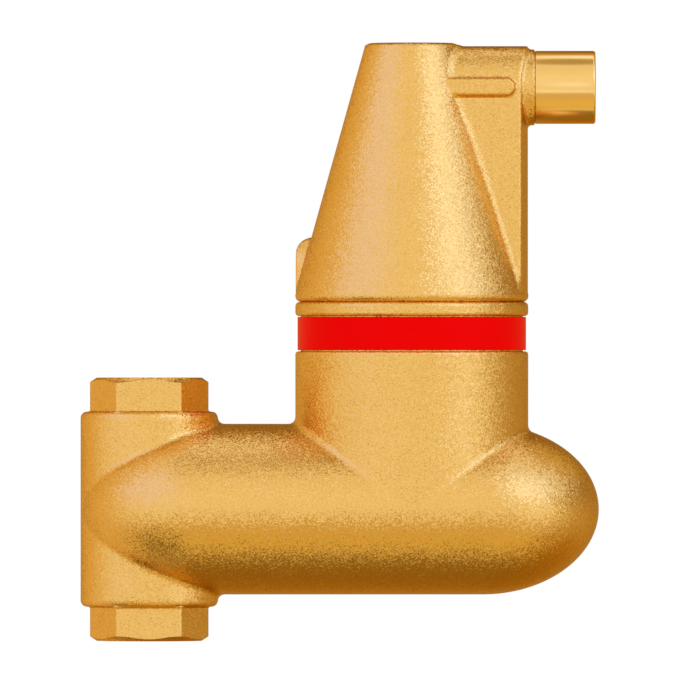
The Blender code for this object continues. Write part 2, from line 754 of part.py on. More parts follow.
def make_lever_bracket():
    """A clamped ring with two cheeks, which carry the lever's pin."""
    hole = NOZZLE_ROOT_RADIUS + 2 * FIT
    ring = [
        (SHANK_RADIUS, BRACKET_BACK),
        (SHANK_RADIUS, BRACKET_FRONT),
        (hole, BRACKET_FRONT),
        (hole, BRACKET_BACK),
    ]
    bracket = turned_part("lever_bracket", ring, STAINLESS, MEDIUM_STEPS)
    place(bracket, 0.0, VENT_Z, along_x=True)
    root = (BRACKET_FRONT + BRACKET_BACK) / 2
    eye = PIN_HOLE + EYE_WALL
    neck = PIVOT_X + eye
    outline = [
        (root, -CHEEK_HALF_HEIGHT),
        (neck, -CHEEK_HALF_HEIGHT),
        (neck, -VALVE_ARM - eye / 2),
        (PIVOT_X + eye / 2, -VALVE_ARM - eye),
        (PIVOT_X - eye / 2, -VALVE_ARM - eye),
        (PIVOT_X - eye, -VALVE_ARM - eye / 2),
        (PIVOT_X - eye, -VALVE_ARM + eye),
        (PIVOT_X, CHEEK_HALF_HEIGHT),
        (root, CHEEK_HALF_HEIGHT),
    ]
    for side in (-1, 1):
        name = "left_cheek" if side < 0 else "right_cheek"
        cheek = add_form(name, extruded_mesh(name, outline, CHEEK_THICKNESS))
        cheek.location = (0.0, side * (CHEEK_HALF_GAP + CHEEK_THICKNESS / 2), VENT_Z)
        cheek.rotation_euler = (math.pi / 2, 0.0, 0.0)
        combine(bracket, cheek, "UNION")
    bore(bracket, "bracket_pin_hole", PIVOT_X, PIVOT_Z, PIN_HOLE, 2 * CHEEK_HALF_GAP)


def make_lever_pin(pivot):
    """The pin through both cheeks and the lever."""
    half_length = CHEEK_HALF_GAP + CHEEK_THICKNESS + FIT
    outline = [
        (0.0, half_length),
        (PIN_RADIUS, half_length),
        (PIN_RADIUS, -half_length),
        (0.0, -half_length),
    ]
    pin = turned_part("lever_pin", outline, STAINLESS, SMALL_STEPS, closed=False)
    pin.parent = pivot
    pin.rotation_euler = (math.pi / 2, 0.0, 0.0)


def make_float_lever(pivot):
    """The angled lever, slotted for the float's rod and forked for the plunger."""
    arm_end = FLOAT_ARM + ARM_PAST_ROD
    half = FLOAT_ARM_THICKNESS / 2
    low = (-arm_end, -LEVER_HALF_WIDTH, -half)
    lever = add_part("float_lever", box_mesh("float_lever", low, (0.0, LEVER_HALF_WIDTH, half)), STAINLESS)
    lever.parent = pivot
    half = VALVE_ARM_THICKNESS / 2
    top = VALVE_ARM + ARM_PAST_STEM
    low = (-half, -LEVER_HALF_WIDTH, -half)
    upright = add_form("lever_upright", box_mesh("lever_upright", low, (half, LEVER_HALF_WIDTH, top)))
    hub_half = CHEEK_HALF_GAP - SLIDE
    hub_mesh = cylinders_mesh("lever_hub", [(0.0, 0.0)], HUB_RADIUS, 2 * hub_half, SMALL_STEPS)
    hub = add_form("lever_hub", hub_mesh)
    hub.rotation_euler = (math.pi / 2, 0.0, 0.0)
    slot_half = ROD_RADIUS + SLIDE
    slot_low = (-FLOAT_ARM - ROD_RADIUS - SLOT_OUTER_PLAY, -slot_half, -FLOAT_ARM_THICKNESS)
    slot_high = (-FLOAT_ARM + ROD_RADIUS + SLOT_INNER_PLAY, slot_half, FLOAT_ARM_THICKNESS)
    slot = add_form("rod_slot", box_mesh("rod_slot", slot_low, slot_high))
    fork_half = STEM_RADIUS + SLIDE
    fork_low = (-HUB_RADIUS, -fork_half, VALVE_ARM - 2 * STEM_RADIUS)
    fork_high = (HUB_RADIUS, fork_half, top + OVERLAP)
    fork = add_form("stem_fork", box_mesh("stem_fork", fork_low, fork_high))
    for form in (upright, hub, slot, fork):
        form.parent = pivot
    combine(lever, upright, "UNION")
    combine(lever, hub, "UNION")
    combine(lever, slot, "DIFFERENCE")
    combine(lever, fork, "DIFFERENCE")
    bore(lever, "lever_pin_hole", PIVOT_X, PIVOT_Z, PIN_HOLE, 2 * CHEEK_HALF_GAP)


def make_valve_plunger():
    """The plunger, with a bead on each side of the lever's fork and a cup for the seal."""
    left = PIVOT_X - BEAD_OFFSET
    right = PIVOT_X + BEAD_OFFSET
    touch = math.degrees(math.asin(STEM_RADIUS / BEAD_RADIUS))
    bead_ends = arc((0.0, left), BEAD_RADIUS, 90 - touch, -90, 5)
    inner_bead = arc((0.0, right), BEAD_RADIUS, 90 - touch, touch - 90, 4)
    rim = CUP_FLOOR + CUP_DEPTH
    pocket = CUP_RADIUS - CUP_WALL
    outline = [
        (0.0, CUP_FLOOR),
        (pocket, CUP_FLOOR),
        (pocket, rim),
        (CUP_RADIUS, rim),
        (CUP_RADIUS, CUP_FLOOR - CUP_BACK),
        (STEM_RADIUS, CUP_FLOOR - CUP_BACK),
        *inner_bead,
        *bead_ends[:-1],
        (0.0, left - BEAD_RADIUS),
    ]
    plunger = turned_part("valve_plunger", outline, STAINLESS, SMALL_STEPS, closed=False)
    place(plunger, 0.0, VENT_Z, along_x=True)
    disc = [(0.0, SEAL_FACE), (SEAL_RADIUS, SEAL_FACE), (SEAL_RADIUS, SEAL_BACK), (0.0, SEAL_BACK)]
    seal = turned_part("valve_seal", disc, RUBBER, SMALL_STEPS, closed=False)
    place(seal, 0.0, VENT_Z, along_x=True)


def make_float_rod():
    """The rod from the float up through the lever's slot, and the round nut on its end."""
    nut_z = PIVOT_Z + ROD_BALL_OFFSET
    ball_z = PIVOT_Z - ROD_BALL_OFFSET
    touch = math.degrees(math.acos(ROD_RADIUS / ROD_BALL_RADIUS))
    foot = FLOAT_TOP + FLOAT_BOSS_HEIGHT - FLOAT_SOCKET_DEPTH + FIT
    top = nut_z + ROD_BALL_RADIUS + FIT
    outline = [
        (0.0, top),
        (ROD_RADIUS, top),
        *arc((0.0, ball_z), ROD_BALL_RADIUS, touch, -touch, 6),
        (ROD_RADIUS, foot),
        (0.0, foot),
    ]
    rod = turned_part("float_rod", outline, STAINLESS, SMALL_STEPS, closed=False)
    place(rod, TOWER_DISTANCE, 0.0)
    hole = ROD_RADIUS + FIT / 2
    touch = math.degrees(math.acos(hole / ROD_BALL_RADIUS))
    nut = turned_part(
        "float_rod_nut", arc((0.0, nut_z), ROD_BALL_RADIUS, touch, -touch, 6), STAINLESS, SMALL_STEPS
    )
    place(nut, TOWER_DISTANCE, 0.0)


def make_float():
    """The hollow float, an upper and a lower shell that meet in a lip."""
    inner = FLOAT_RADIUS - FLOAT_WALL
    lip_inner = inner - FIT - FLOAT_WALL
    lip_top = FLOAT_SEAM + FLOAT_LIP
    floor = FLOAT_BOTTOM + FLOAT_WALL
    lower = [
        (0.0, floor),
        (lip_inner, floor),
        (lip_inner, lip_top),
        (inner - FIT, lip_top),
        (inner - FIT, FLOAT_SEAM - FIT),
        (FLOAT_RADIUS, FLOAT_SEAM - FIT),
        *arc((FLOAT_RADIUS - FLOAT_EDGE, FLOAT_BOTTOM + FLOAT_EDGE), FLOAT_EDGE, 0, -90, 3),
        (0.0, FLOAT_BOTTOM),
    ]
    shell = turned_part("float_lower_shell", lower, FLOAT_PLASTIC, 2 * SMALL_STEPS, closed=False)
    place(shell, TOWER_DISTANCE, 0.0)
    boss_top = FLOAT_TOP + FLOAT_BOSS_HEIGHT
    socket = ROD_RADIUS + FIT
    socket_foot = boss_top - FLOAT_SOCKET_DEPTH
    ceiling = FLOAT_TOP - FLOAT_WALL
    upper = [
        (0.0, socket_foot),
        (socket, socket_foot),
        (socket, boss_top),
        (FLOAT_BOSS_RADIUS, boss_top),
        (FLOAT_BOSS_RADIUS, FLOAT_TOP),
        (FLOAT_TOP_RADIUS, FLOAT_TOP),
        (FLOAT_RADIUS, FLOAT_SHOULDER),
        (FLOAT_RADIUS, FLOAT_SEAM),
        (inner, FLOAT_SEAM),
        (inner, FLOAT_SHOULDER),
        (FLOAT_TOP_RADIUS - FLOAT_WALL, ceiling),
        (FLOAT_BOSS_RADIUS, ceiling),
        (FLOAT_BOSS_RADIUS, socket_foot - FLOAT_WALL),
        (0.0, socket_foot - FLOAT_WALL),
    ]
    shell = turned_part("float_upper_shell", upper, FLOAT_PLASTIC, 2 * SMALL_STEPS, closed=False)
    place(shell, TOWER_DISTANCE, 0.0)


def ring_of_places(count, radius, start=0.0):
    """Places evenly round a circle."""
    turns = [start + 2 * math.pi * step / count for step in range(count)]
    return [(radius * math.cos(a), radius * math.sin(a)) for a in turns]


def make_ring_cup():
    """The sheet cup between the rings and the float, with a perforated floor."""
    outer = TOWER_BORE - FIT
    inner = outer - SHEET
    top = SKIRT_BOTTOM - FIT
    outline = [
        (0.0, CUP_BOTTOM + SHEET),
        (inner, CUP_BOTTOM + SHEET),
        (inner, top),
        (outer, top),
        (outer, CUP_BOTTOM),
        (0.0, CUP_BOTTOM),
    ]
    cup = turned_part("ring_cup", outline, STAINLESS, MEDIUM_STEPS, closed=False)
    place(cup, TOWER_DISTANCE, 0.0)
    holes = [spot for count, share in CUP_CIRCLES for spot in ring_of_places(count, inner * share)]
    mesh = cylinders_mesh("cup_holes", holes, HOLE_RADIUS, 4 * SHEET, 8)
    drill = add_form("cup_holes", mesh)
    drill.location = (TOWER_DISTANCE, 0.0, CUP_BOTTOM)
    combine(cup, drill, "DIFFERENCE")


def make_port_screen():
    """The perforated oval screen between the pipe and the chamber."""
    half_width = CORE_HALF_WIDTH - FIT
    half_height = CORE_HALF_HEIGHT - FIT
    outline = [(half_height * y, half_width * x) for x, y in arc((0.0, 0.0), 1.0, 0, 360, 32)[:-1]]
    screen = add_part(
        "port_screen", extruded_mesh("port_screen", outline, SCREEN_SHEET), STAINLESS
    )
    middle = SCREEN_X + SCREEN_SHEET / 2
    place(screen, middle, CHAMBER_Z, along_x=True)
    holes = []
    for row, count in enumerate(SCREEN_ROWS):
        height = (row - (len(SCREEN_ROWS) - 1) / 2) * HOLE_PITCH
        for column in range(count):
            holes.append((height, (column - (count - 1) / 2) * HOLE_PITCH))
    drill = add_form("screen_holes", cylinders_mesh("screen_holes", holes, HOLE_RADIUS, 4 * SCREEN_SHEET, 8))
    place(drill, middle, CHAMBER_Z, along_x=True)
    combine(screen, drill, "DIFFERENCE")


def pall_ring_mesh():
    """A sheet ring with a row of windows, whose tongues bend inwards."""
    middle_radius = RING_RADIUS - RING_SHEET / 2
    window_half = RING_WINDOW / 2
    heights = (-RING_LENGTH / 2, -window_half, window_half, RING_LENGTH / 2)
    shape = bmesh.new()
    rows = []
    for height in heights:
        places = ring_of_places(RING_SIDES, middle_radius)
        rows.append([shape.verts.new((x, y, height)) for x, y in places])
    for level in range(len(heights) - 1):
        for side in range(RING_SIDES):
            after = (side + 1) % RING_SIDES
            lower, upper = rows[level], rows[level + 1]
            if level == 1 and side % 2 == 0:
                tongue = add_tongue(shape, upper[side], upper[after])
                shape.faces.new((upper[side], upper[after], *reversed(tongue)))
                continue
            shape.faces.new((lower[side], lower[after], upper[after], upper[side]))
    bmesh.ops.recalc_face_normals(shape, faces=shape.faces)
    mesh = bpy.data.meshes.new("pall_ring")
    shape.to_mesh(mesh)
    shape.free()
    return mesh


def add_tongue(shape, first, second):
    """The inner end of a tongue that bends in from a window's upper edge."""
    ends = []
    for corner in (first, second):
        inwards = Vector((corner.co.x, corner.co.y, 0.0)).normalized() * RING_TONGUE
        drop = Vector((0.0, 0.0, TONGUE_DROP))
        ends.append(shape.verts.new(corner.co - inwards - drop))
    return ends


def clear_of_wall(x, y, z):
    """Whether a lying ring that ends at x is clear of the chamber's oval wall there."""
    past_centre = max(0.0, x - CHAMBER_RIGHT) / CORE_HALF_WIDTH
    if past_centre >= 1.0:
        return False
    shrink = math.sqrt(1.0 - past_centre**2)
    rim = arc((y, z), RING_RADIUS + RING_WALL_GAP, 0, 360, 36)
    return all(math.hypot(a / CORE_HALF_WIDTH, b / CORE_HALF_HEIGHT) < shrink for a, b in rim)


def column_heights(x, y):
    """The heights of the rings in one upright column, from the chamber's floor up."""
    height = 0.0
    while clear_of_wall(x, y, height - RING_DROP):
        height -= RING_DROP
    heights = []
    while clear_of_wall(x, y, height):
        heights.append(height)
        height += 2 * RING_RADIUS + RING_GAP
    return heights


def ring_places():
    """Each separating ring's centre, and the axis that it lies along."""
    pitch = 2 * RING_RADIUS + RING_GAP
    start = SCREEN_X + SCREEN_SHEET + FIT
    places = []
    while start + RING_LENGTH < CHAMBER_RIGHT + CORE_HALF_WIDTH:
        end = start + RING_LENGTH
        for y in (-pitch, 0.0, pitch):
            for layer, z in enumerate(column_heights(end, y)):
                crosswise = "YZ"[len(places) % 2]
                axis = crosswise if layer and y == 0.0 else "X"
                places.append((((start + end) / 2, y, z), axis))
        start = end + RING_GAP
    return places


def make_pall_rings():
    """The separating rings, settled in the chamber."""
    turns = {"X": (0.0, math.pi / 2, 0.0), "Y": (math.pi / 2, 0.0, 0.0), "Z": (0.0, 0.0, 0.0)}
    mesh = pall_ring_mesh()
    for number, ((x, y, z), axis) in enumerate(ring_places(), 1):
        if number == 1:
            ring = add_part("pall_ring_01", mesh, STAINLESS)
        else:
            ring = bpy.data.objects.new(f"pall_ring_{number:02}", mesh)
            PARTS.objects.link(ring)
        ring.location = (x, y, CHAMBER_Z + z)
        ring.rotation_euler = turns[axis]
        wall = ring.modifiers.new("sheet", "SOLIDIFY")
        wall.thickness = RING_SHEET
        wall.offset = 0.0


for old in list(bpy.data.objects):
    bpy.data.objects.remove(old, do_unlink=True)

PARTS = new_collection("air_separator")
FORMS = new_collection("air_separator_cutters")
FORMS.hide_render = True

CAST_BRASS = new_material("cast_brass", (0.80, 0.50, 0.16), 0.9, 0.42)
TURNED_BRASS = new_material("turned_brass", (0.90, 0.60, 0.28), 1.0, 0.2)
RED_BAND = new_material("red_band", (0.90, 0.01, 0.02), 0.0, 0.35)
RUBBER = new_material("rubber", (0.03, 0.03, 0.03), 0.0, 0.7)
STAINLESS = new_material("stainless", (0.62, 0.62, 0.60), 1.0, 0.3)
FLOAT_PLASTIC = new_material("float_plastic", (0.85, 0.84, 0.80), 0.0, 0.4)

lever_pivot = bpy.data.objects.new("lever_pivot", None)
lever_pivot.location = (PIVOT_X, 0.0, PIVOT_Z)
PARTS.objects.link(lever_pivot)

make_body_casting()
make_vent_head()
make_rubber_rings()
make_label_band()
make_vent_spigot()
make_valve_seat()
make_lever_bracket()
make_lever_pin(lever_pivot)
make_float_lever(lever_pivot)
make_valve_plunger()
make_float_rod()
make_float()
make_ring_cup()
make_port_screen()
make_pall_rings()
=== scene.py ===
"""The looks of a cast-brass air separator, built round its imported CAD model."""

import json
import math

import bpy
import numpy as np
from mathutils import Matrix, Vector


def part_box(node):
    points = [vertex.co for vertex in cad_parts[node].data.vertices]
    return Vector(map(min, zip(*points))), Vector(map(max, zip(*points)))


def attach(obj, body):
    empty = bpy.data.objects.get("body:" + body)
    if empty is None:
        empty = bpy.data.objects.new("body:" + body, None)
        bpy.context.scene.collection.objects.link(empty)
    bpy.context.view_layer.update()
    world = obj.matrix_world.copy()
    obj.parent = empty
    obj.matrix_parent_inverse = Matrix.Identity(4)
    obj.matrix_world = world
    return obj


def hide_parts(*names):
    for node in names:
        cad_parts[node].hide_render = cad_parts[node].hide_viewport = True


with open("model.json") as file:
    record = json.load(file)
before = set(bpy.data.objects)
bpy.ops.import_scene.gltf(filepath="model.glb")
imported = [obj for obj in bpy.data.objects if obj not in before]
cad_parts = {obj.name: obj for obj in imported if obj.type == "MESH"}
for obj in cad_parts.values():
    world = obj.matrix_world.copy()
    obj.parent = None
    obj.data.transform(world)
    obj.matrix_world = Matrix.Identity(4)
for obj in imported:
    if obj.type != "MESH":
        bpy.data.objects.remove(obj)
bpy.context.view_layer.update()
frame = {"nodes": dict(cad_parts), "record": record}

MM = 0.001

# The chamber, a lying capsule with an oval section
CHAMBER_Z = 38.7 * MM
CHAMBER_LEFT = 14.35 * MM
CHAMBER_RIGHT = 97.95 * MM
CHAMBER_HALF_WIDTH = 34.25 * MM
CHAMBER_HALF_HEIGHT = 25.1 * MM
CORE_HALF_WIDTH = 31.25 * MM
CORE_HALF_HEIGHT = 22.1 * MM

# The tower on it, with the recess for the band
TOWER_X = 77.2 * MM
TOWER_RADIUS = 34.25 * MM
TOWER_FOOT = 20.0 * MM
TOWER_CUT = 72.0 * MM
TOWER_TOP = 99.65 * MM
TOWER_EDGE = 1.3 * MM
TOWER_FILLET = 2.0 * MM
TOWER_BLANK_TOP = TOWER_CUT + 6.0 * MM
RECESS_RADIUS = 32.7 * MM
RECESS_LOW = 85.1 * MM
RECESS_HIGH = 95.5 * MM
RECESS_EDGE = 0.9 * MM
RIM_LOWER_EDGE = 1.0 * MM
SEAL_GROOVE_RADIUS = 33.0 * MM
SEAL_GROOVE_FLOOR = 97.35 * MM
TOWER_BORE = 31.0 * MM
LEDGE_Z = 61.5 * MM
LEDGE_BORE = 29.5 * MM
BAND_RADIUS = 33.6 * MM
BAND_INNER = 33.0 * MM
BAND_LOW = 85.45 * MM
BAND_HIGH = 95.25 * MM
BAND_EDGE = 0.12 * MM
BAND_HALF_GAP = 0.15 * MM
BAND_GAP_INNER = 30.0 * MM
BAND_GAP_OUTER = 36.0 * MM

# The pipe's boss and its two ports
FACE_TO_FACE = 77.4 * MM
BOSS_RADIUS = -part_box("body_casting")[0].x
BOSS_HALF_HEIGHT = 28.7 * MM
BOSS_EDGE = 1.9 * MM
BOSS_FILLET = 1.9 * MM
HEX_ACROSS_FLATS = 32.8 * MM
HEX_HALF_LENGTH = 17.4 * MM
HEX_CORNER = 1.2 * MM
HEX_FILLET = 0.6 * MM
HEX_CHAMFER_WIDTH = 1.95 * MM
HEX_CHAMFER_DROP = 1.3 * MM
HEX_CHAMFER_TAIL = 0.35 * MM
HEX_CHAMFER_REACH = 1.2 * MM
HEX_ROOT = 2.0 * MM
HEX_BEVEL = 0.12 * MM
HEX_BEVEL_ANGLE = math.radians(40.0)
PORT_RADIUS = 12.06 * MM
PORT_LEAD_IN = 1.3 * MM
PORT_DEPTH = 16.0 * MM
PIPE_WIDE = 16.8 * MM
THREAD_PITCH = 1.814 * MM
THREAD_DEPTH = 1.16 * MM
THREAD_CREST = 0.15
THREAD_FLANKS = 0.7
THREAD_STOP = PORT_DEPTH - 1.0 * MM
THREAD_FADE = 2.0 * MM
THREAD_ROWS = 8

# The vent head, a cone with a web under the outlet barrel
HEAD_BASE = 99.66 * MM
HEAD_RIM_EDGE = 1.7 * MM
CONE_BASE = 101.8 * MM
CONE_CUT = 102.2 * MM
HEAD_TOP = 175.8 * MM
HEAD_TOP_RADIUS = 13.55 * MM
CONE_SLOPE = (TOWER_RADIUS - HEAD_TOP_RADIUS) / (HEAD_TOP - CONE_BASE)
HEAD_EDGE = 1.3 * MM
HEAD_EDGE_LEAN = math.radians(66.0)
HEAD_EDGE_ROUND = 0.25 * MM
HEAD_BLANK_FOOT = HEAD_BASE - 4.0 * MM
HEAD_OUTER_LIMIT = 34.15 * MM
SKIRT_RADIUS = 30.7 * MM
SKIRT_BORE = 27.5 * MM
SKIRT_BOTTOM = 84.75 * MM
CONE_WALL = 3.115 * MM
CROWN = 3.3 * MM
VENT_Z = 162.73 * MM
BARREL_RADIUS = 12.13 * MM
COLLAR_RADIUS = 11.15 * MM
COLLAR_END = 113.35 * MM
COLLAR_LENGTH = 20.0 * MM
COLLAR_BLANK = 18.0 * MM
COLLAR_EDGE = 0.35 * MM
COLLAR_FILLET = 1.1 * MM
ARCH_BLANK = 40.0 * MM
VENT_PASSAGE = 7.0 * MM
SEAT_POCKET = 8.3 * MM
SEAT_POCKET_START = 98.15 * MM
SPIGOT_POCKET = 9.8 * MM
SPIGOT_POCKET_START = 111.15 * MM
STRIP_HALF_HEIGHT = 2.95 * MM
STRIP_DRAFT = math.radians(20.0)
STRIP_HALF_WIDTH = 13.75 * MM
STRIP_ROOT = 11.78 * MM
STRIP_START = 83.98 * MM
STRIP_END = 104.95 * MM
STRIP_EDGE = 0.35 * MM
STRIP_FILLET = 0.3 * MM
LUG_HALF_WIDTH = 9.5 * MM
LUG_TOP = 118.9 * MM
LUG_TURN = math.radians(163.0)
LUG_CORNER = 4.7 * MM
LUG_EDGE = 0.5 * MM
LUG_FILLET = 0.8 * MM
LUG_BLANK = 33.0 * MM
WEB_EDGE = 0.55 * MM
WEB_FILLET = 1.6 * MM
WEB_FILLET_FADE = 0.45
WEB_BLANK = 32.5 * MM
WEB_CORE_HALF_WIDTH = 9.13 * MM
WEB_CORE_LOW = 104.8 * MM
WEB_CORE_HIGH = 150.03 * MM
WEB_CORE_LIMIT = 31.25 * MM
WEB_CORE_REACH = 34.0 * MM

# The outlet spigot
SPIGOT_START = 113.38 * MM
SPIGOT_END = 131.2 * MM
SPIGOT_RADIUS = 10.74 * MM
SPIGOT_CHAMFER = 0.6 * MM
SPIGOT_ROUND = 0.75 * MM
SPIGOT_BORE = 4.5 * MM
SHANK_RADIUS = 8.0 * MM
SHANK_WAIST = 7.6 * MM
SHANK_START = 102.05 * MM
SHANK_END = 110.75 * MM
WAIST_START = 111.15 * MM
SHANK_CHAMFER = 0.4 * MM
SHOULDER_CHAMFER = 0.25 * MM
SPIGOT_BEVEL = 0.1 * MM
SPIGOT_BEVEL_ANGLE = math.radians(30.0)

# Where the rounded edges of the groove between tower and head stop, in degrees
GROOVE_END = 80.0

# How finely the forms are meshed
BODY_GRID = 0.8 * MM
HEAD_GRID = 0.47 * MM
ROUND_STEPS = 144
BORE_STEPS = 96
WEB_CORE_STEPS = 64
STRIP_END_STEPS = 48
GROOVE_STEPS = 7
SETTLE_ROUNDS = 8
SMOOTH_ANGLE = math.radians(38.0)
BODY_SMOOTH_ANGLE = math.radians(32.0)
WELD = 0.001 * MM
TINY = 1e-9

# How far a cutter reaches past what it cuts
PAST = 1.0 * MM


def deselect_all():
    bpy.ops.object.select_all(action="DESELECT")
    bpy.context.view_layer.objects.active = None


def make_active(piece):
    """Only this piece selected."""
    deselect_all()
    piece.select_set(True)
    bpy.context.view_layer.objects.active = piece


def apply_place(piece):
    """The piece's place moved into its mesh, so that its object sits at the origin."""
    make_active(piece)
    bpy.ops.object.transform_apply(location=True, rotation=True, scale=True)


def apply_modifier(piece, kind, **settings):
    """A modifier added with its settings and applied."""
    make_active(piece)
    modifier = piece.modifiers.new(kind.lower(), kind)
    for name, value in settings.items():
        setattr(modifier, name, value)
    bpy.ops.object.modifier_apply(modifier=modifier.name)


def combine(piece, form, operation):
    """A form united with the piece, cut from it or shared with it, and then removed."""
    apply_modifier(piece, "BOOLEAN", operation=operation, object=form, solver="MANIFOLD")
    bpy.data.objects.remove(form, do_unlink=True)


def unite(name, pieces):
    """Several objects joined into one mesh."""
    make_active(pieces[0])
    for piece in pieces[1:]:
        piece.select_set(True)
    bpy.ops.object.join()
    pieces[0].name = name
    return pieces[0]


def smooth_shading(piece, angle=SMOOTH_ANGLE):
    """Smooth shading that keeps the corners."""
    make_active(piece)
    bpy.ops.object.shade_smooth_by_angle(angle=angle)


def points_of(piece):
    """The piece's points as rows of x, y and z."""
    points = np.empty(len(piece.data.vertices) * 3)
    piece.data.vertices.foreach_get("co", points)
    return points.reshape(-1, 3)


def set_points(piece, points):
    """The piece's points moved to the given rows."""
    piece.data.vertices.foreach_set("co", points.ravel())
    piece.data.update()


def select_where(piece, kind, test):
    """Of the active piece's points, edges or faces, those that pass the test selected."""
    bpy.ops.object.mode_set(mode="OBJECT")
    for vertex in piece.data.vertices:
        vertex.select = False
    for edge in piece.data.edges:
        edge.select = False
    for face in piece.data.polygons:
        face.select = False
    for element in getattr(piece.data, kind):
        element.select = test(element)
    bpy.ops.object.mode_set(mode="EDIT")


def cylinder(x, y, low, high, radius, steps=ROUND_STEPS):
    """An upright cylinder between two heights."""
    deselect_all()
    bpy.ops.mesh.primitive_cylinder_add(
        vertices=steps, radius=radius, depth=high - low, location=(x, y, (low + high) / 2)
    )
    piece = bpy.context.object
    apply_place(piece)
    return piece


def lay_along_x(piece, z=VENT_Z):
    """An upright round piece laid along X at a height."""
    piece.rotation_euler = (0.0, math.pi / 2, 0.0)
    piece.location = (0.0, 0.0, z)
    apply_place(piece)
    return piece


def lying_cylinder(low, high, radius, z=VENT_Z, steps=BORE_STEPS):
    """A cylinder along X."""
    return lay_along_x(cylinder(0.0, 0.0, low, high, radius, steps), z)


def box(low, high):
    """A box between two corners."""
    deselect_all()
    middle = [(a + b) / 2 for a, b in zip(low, high)]
    bpy.ops.mesh.primitive_cube_add(size=1.0, location=middle)
    piece = bpy.context.object
    piece.scale = [b - a for a, b in zip(low, high)]
    apply_place(piece)
    return piece


def draw_up(outline, x):
    """In edit mode, the selected loop extruded from one radius and height to the next."""
    for (radius, height), (next_radius, next_height) in zip(outline, outline[1:]):
        bpy.ops.mesh.extrude_region_move(
            TRANSFORM_OT_translate={"value": (0.0, 0.0, next_height - height)}
        )
        ratio = next_radius / radius
        if ratio != 1.0:
            bpy.ops.transform.resize(
                value=(ratio, ratio, 1.0), center_override=(x, 0.0, next_height)
            )


def turned(name, outline, x=0.0, steps=ROUND_STEPS, closed=False, ring=None):
    """A piece about an upright axis, drawn from a circle or another ring along its outline."""
    deselect_all()
    radius, height = outline[0]
    steps = steps if ring is None else len(ring)
    bpy.ops.mesh.primitive_circle_add(vertices=steps, radius=radius, location=(x, 0.0, height))
    piece = bpy.context.object
    piece.name = name
    apply_place(piece)
    if ring is not None:
        set_points(piece, np.column_stack([ring, np.full(steps, height)]))
    bpy.ops.object.mode_set(mode="EDIT")
    bpy.ops.mesh.select_all(action="SELECT")
    if not closed:
        bpy.ops.mesh.edge_face_add()
        bpy.ops.mesh.select_mode(type="EDGE")
        bpy.ops.mesh.select_all(action="SELECT")
    draw_up(outline, x)
    if closed:
        bpy.ops.mesh.select_mode(type="EDGE")
        bpy.ops.mesh.select_all(action="DESELECT")
        bpy.ops.mesh.select_non_manifold()
        bpy.ops.mesh.bridge_edge_loops()
    bpy.ops.mesh.select_all(action="SELECT")
    bpy.ops.mesh.normals_make_consistent(inside=False)
    bpy.ops.object.mode_set(mode="OBJECT")
    return piece


def arc(centre, radius, start, end, steps=5):
    """Points on an arc, with its angles in degrees."""
    turns = [math.radians(start + (end - start) * step / steps) for step in range(steps + 1)]
    return [(centre[0] + radius * math.cos(a), centre[1] + radius * math.sin(a)) for a in turns]


def length_of(rows):
    """Each row's length, never quite zero."""
    return np.maximum(np.linalg.norm(rows, axis=1), TINY)


def from_middle(offsets, radius):
    """Distance to a round side and the way out from it, for offsets from its middle."""
    reach = length_of(offsets)
    return reach - radius, offsets / reach[:, None]


def from_oval(offsets, half_sizes):
    """Nearly the distance to an oval, and the way out from it."""
    scaled = offsets / half_sizes
    size = length_of(scaled)
    slope = scaled / half_sizes / size[:, None]
    steepness = length_of(slope)
    return (size - 1.0) / steepness, slope / steepness[:, None]


def from_plane(points, normal, place):
    """Distance past a plane, and the way out from it."""
    normal = np.array(normal)
    return points @ normal - place, np.broadcast_to(normal, points.shape)


def weighed(first, second, weight):
    """The way out between two forms, leaning to the first by the weight."""
    mixed = first * weight[:, None] + second * (1.0 - weight)[:, None]
    return mixed / length_of(mixed)[:, None]


def join(first, second, radius, fade=1.0):
    """Two cast forms as one, with a hollow fillet that fades where they run on smoothly."""
    (a, way_a), (b, way_b) = first, second
    bend = np.clip((1.0 - (way_a * way_b).sum(1)) / fade, 0.0, 1.0)
    fillet = radius * bend
    past_a = np.maximum(fillet - a, 0.0)
    past_b = np.maximum(fillet - b, 0.0)
    inner = np.hypot(past_a, past_b)
    distance = np.maximum(fillet, np.minimum(a, b)) - inner
    nearer = (a < b).astype(float)
    weight = np.where(inner > TINY, past_a / np.maximum(past_a + past_b, TINY), nearer)
    return distance, weighed(way_a, way_b, weight)


def cut(first, second, radius):
    """The space that two forms share, with a rounded edge."""
    (a, way_a), (b, way_b) = first, second
    past_a = np.maximum(radius + a, 0.0)
    past_b = np.maximum(radius + b, 0.0)
    outer = np.hypot(past_a, past_b)
    distance = np.minimum(-radius, np.maximum(a, b)) + outer
    nearer = (a > b).astype(float)
    weight = np.where(outer > TINY, past_a / np.maximum(past_a + past_b, TINY), nearer)
    return distance, weighed(way_a, way_b, weight)


def about_axis(points, x):
    """Level offsets from an upright axis."""
    return (points - (x, 0.0, 0.0)) * (1.0, 1.0, 0.0)


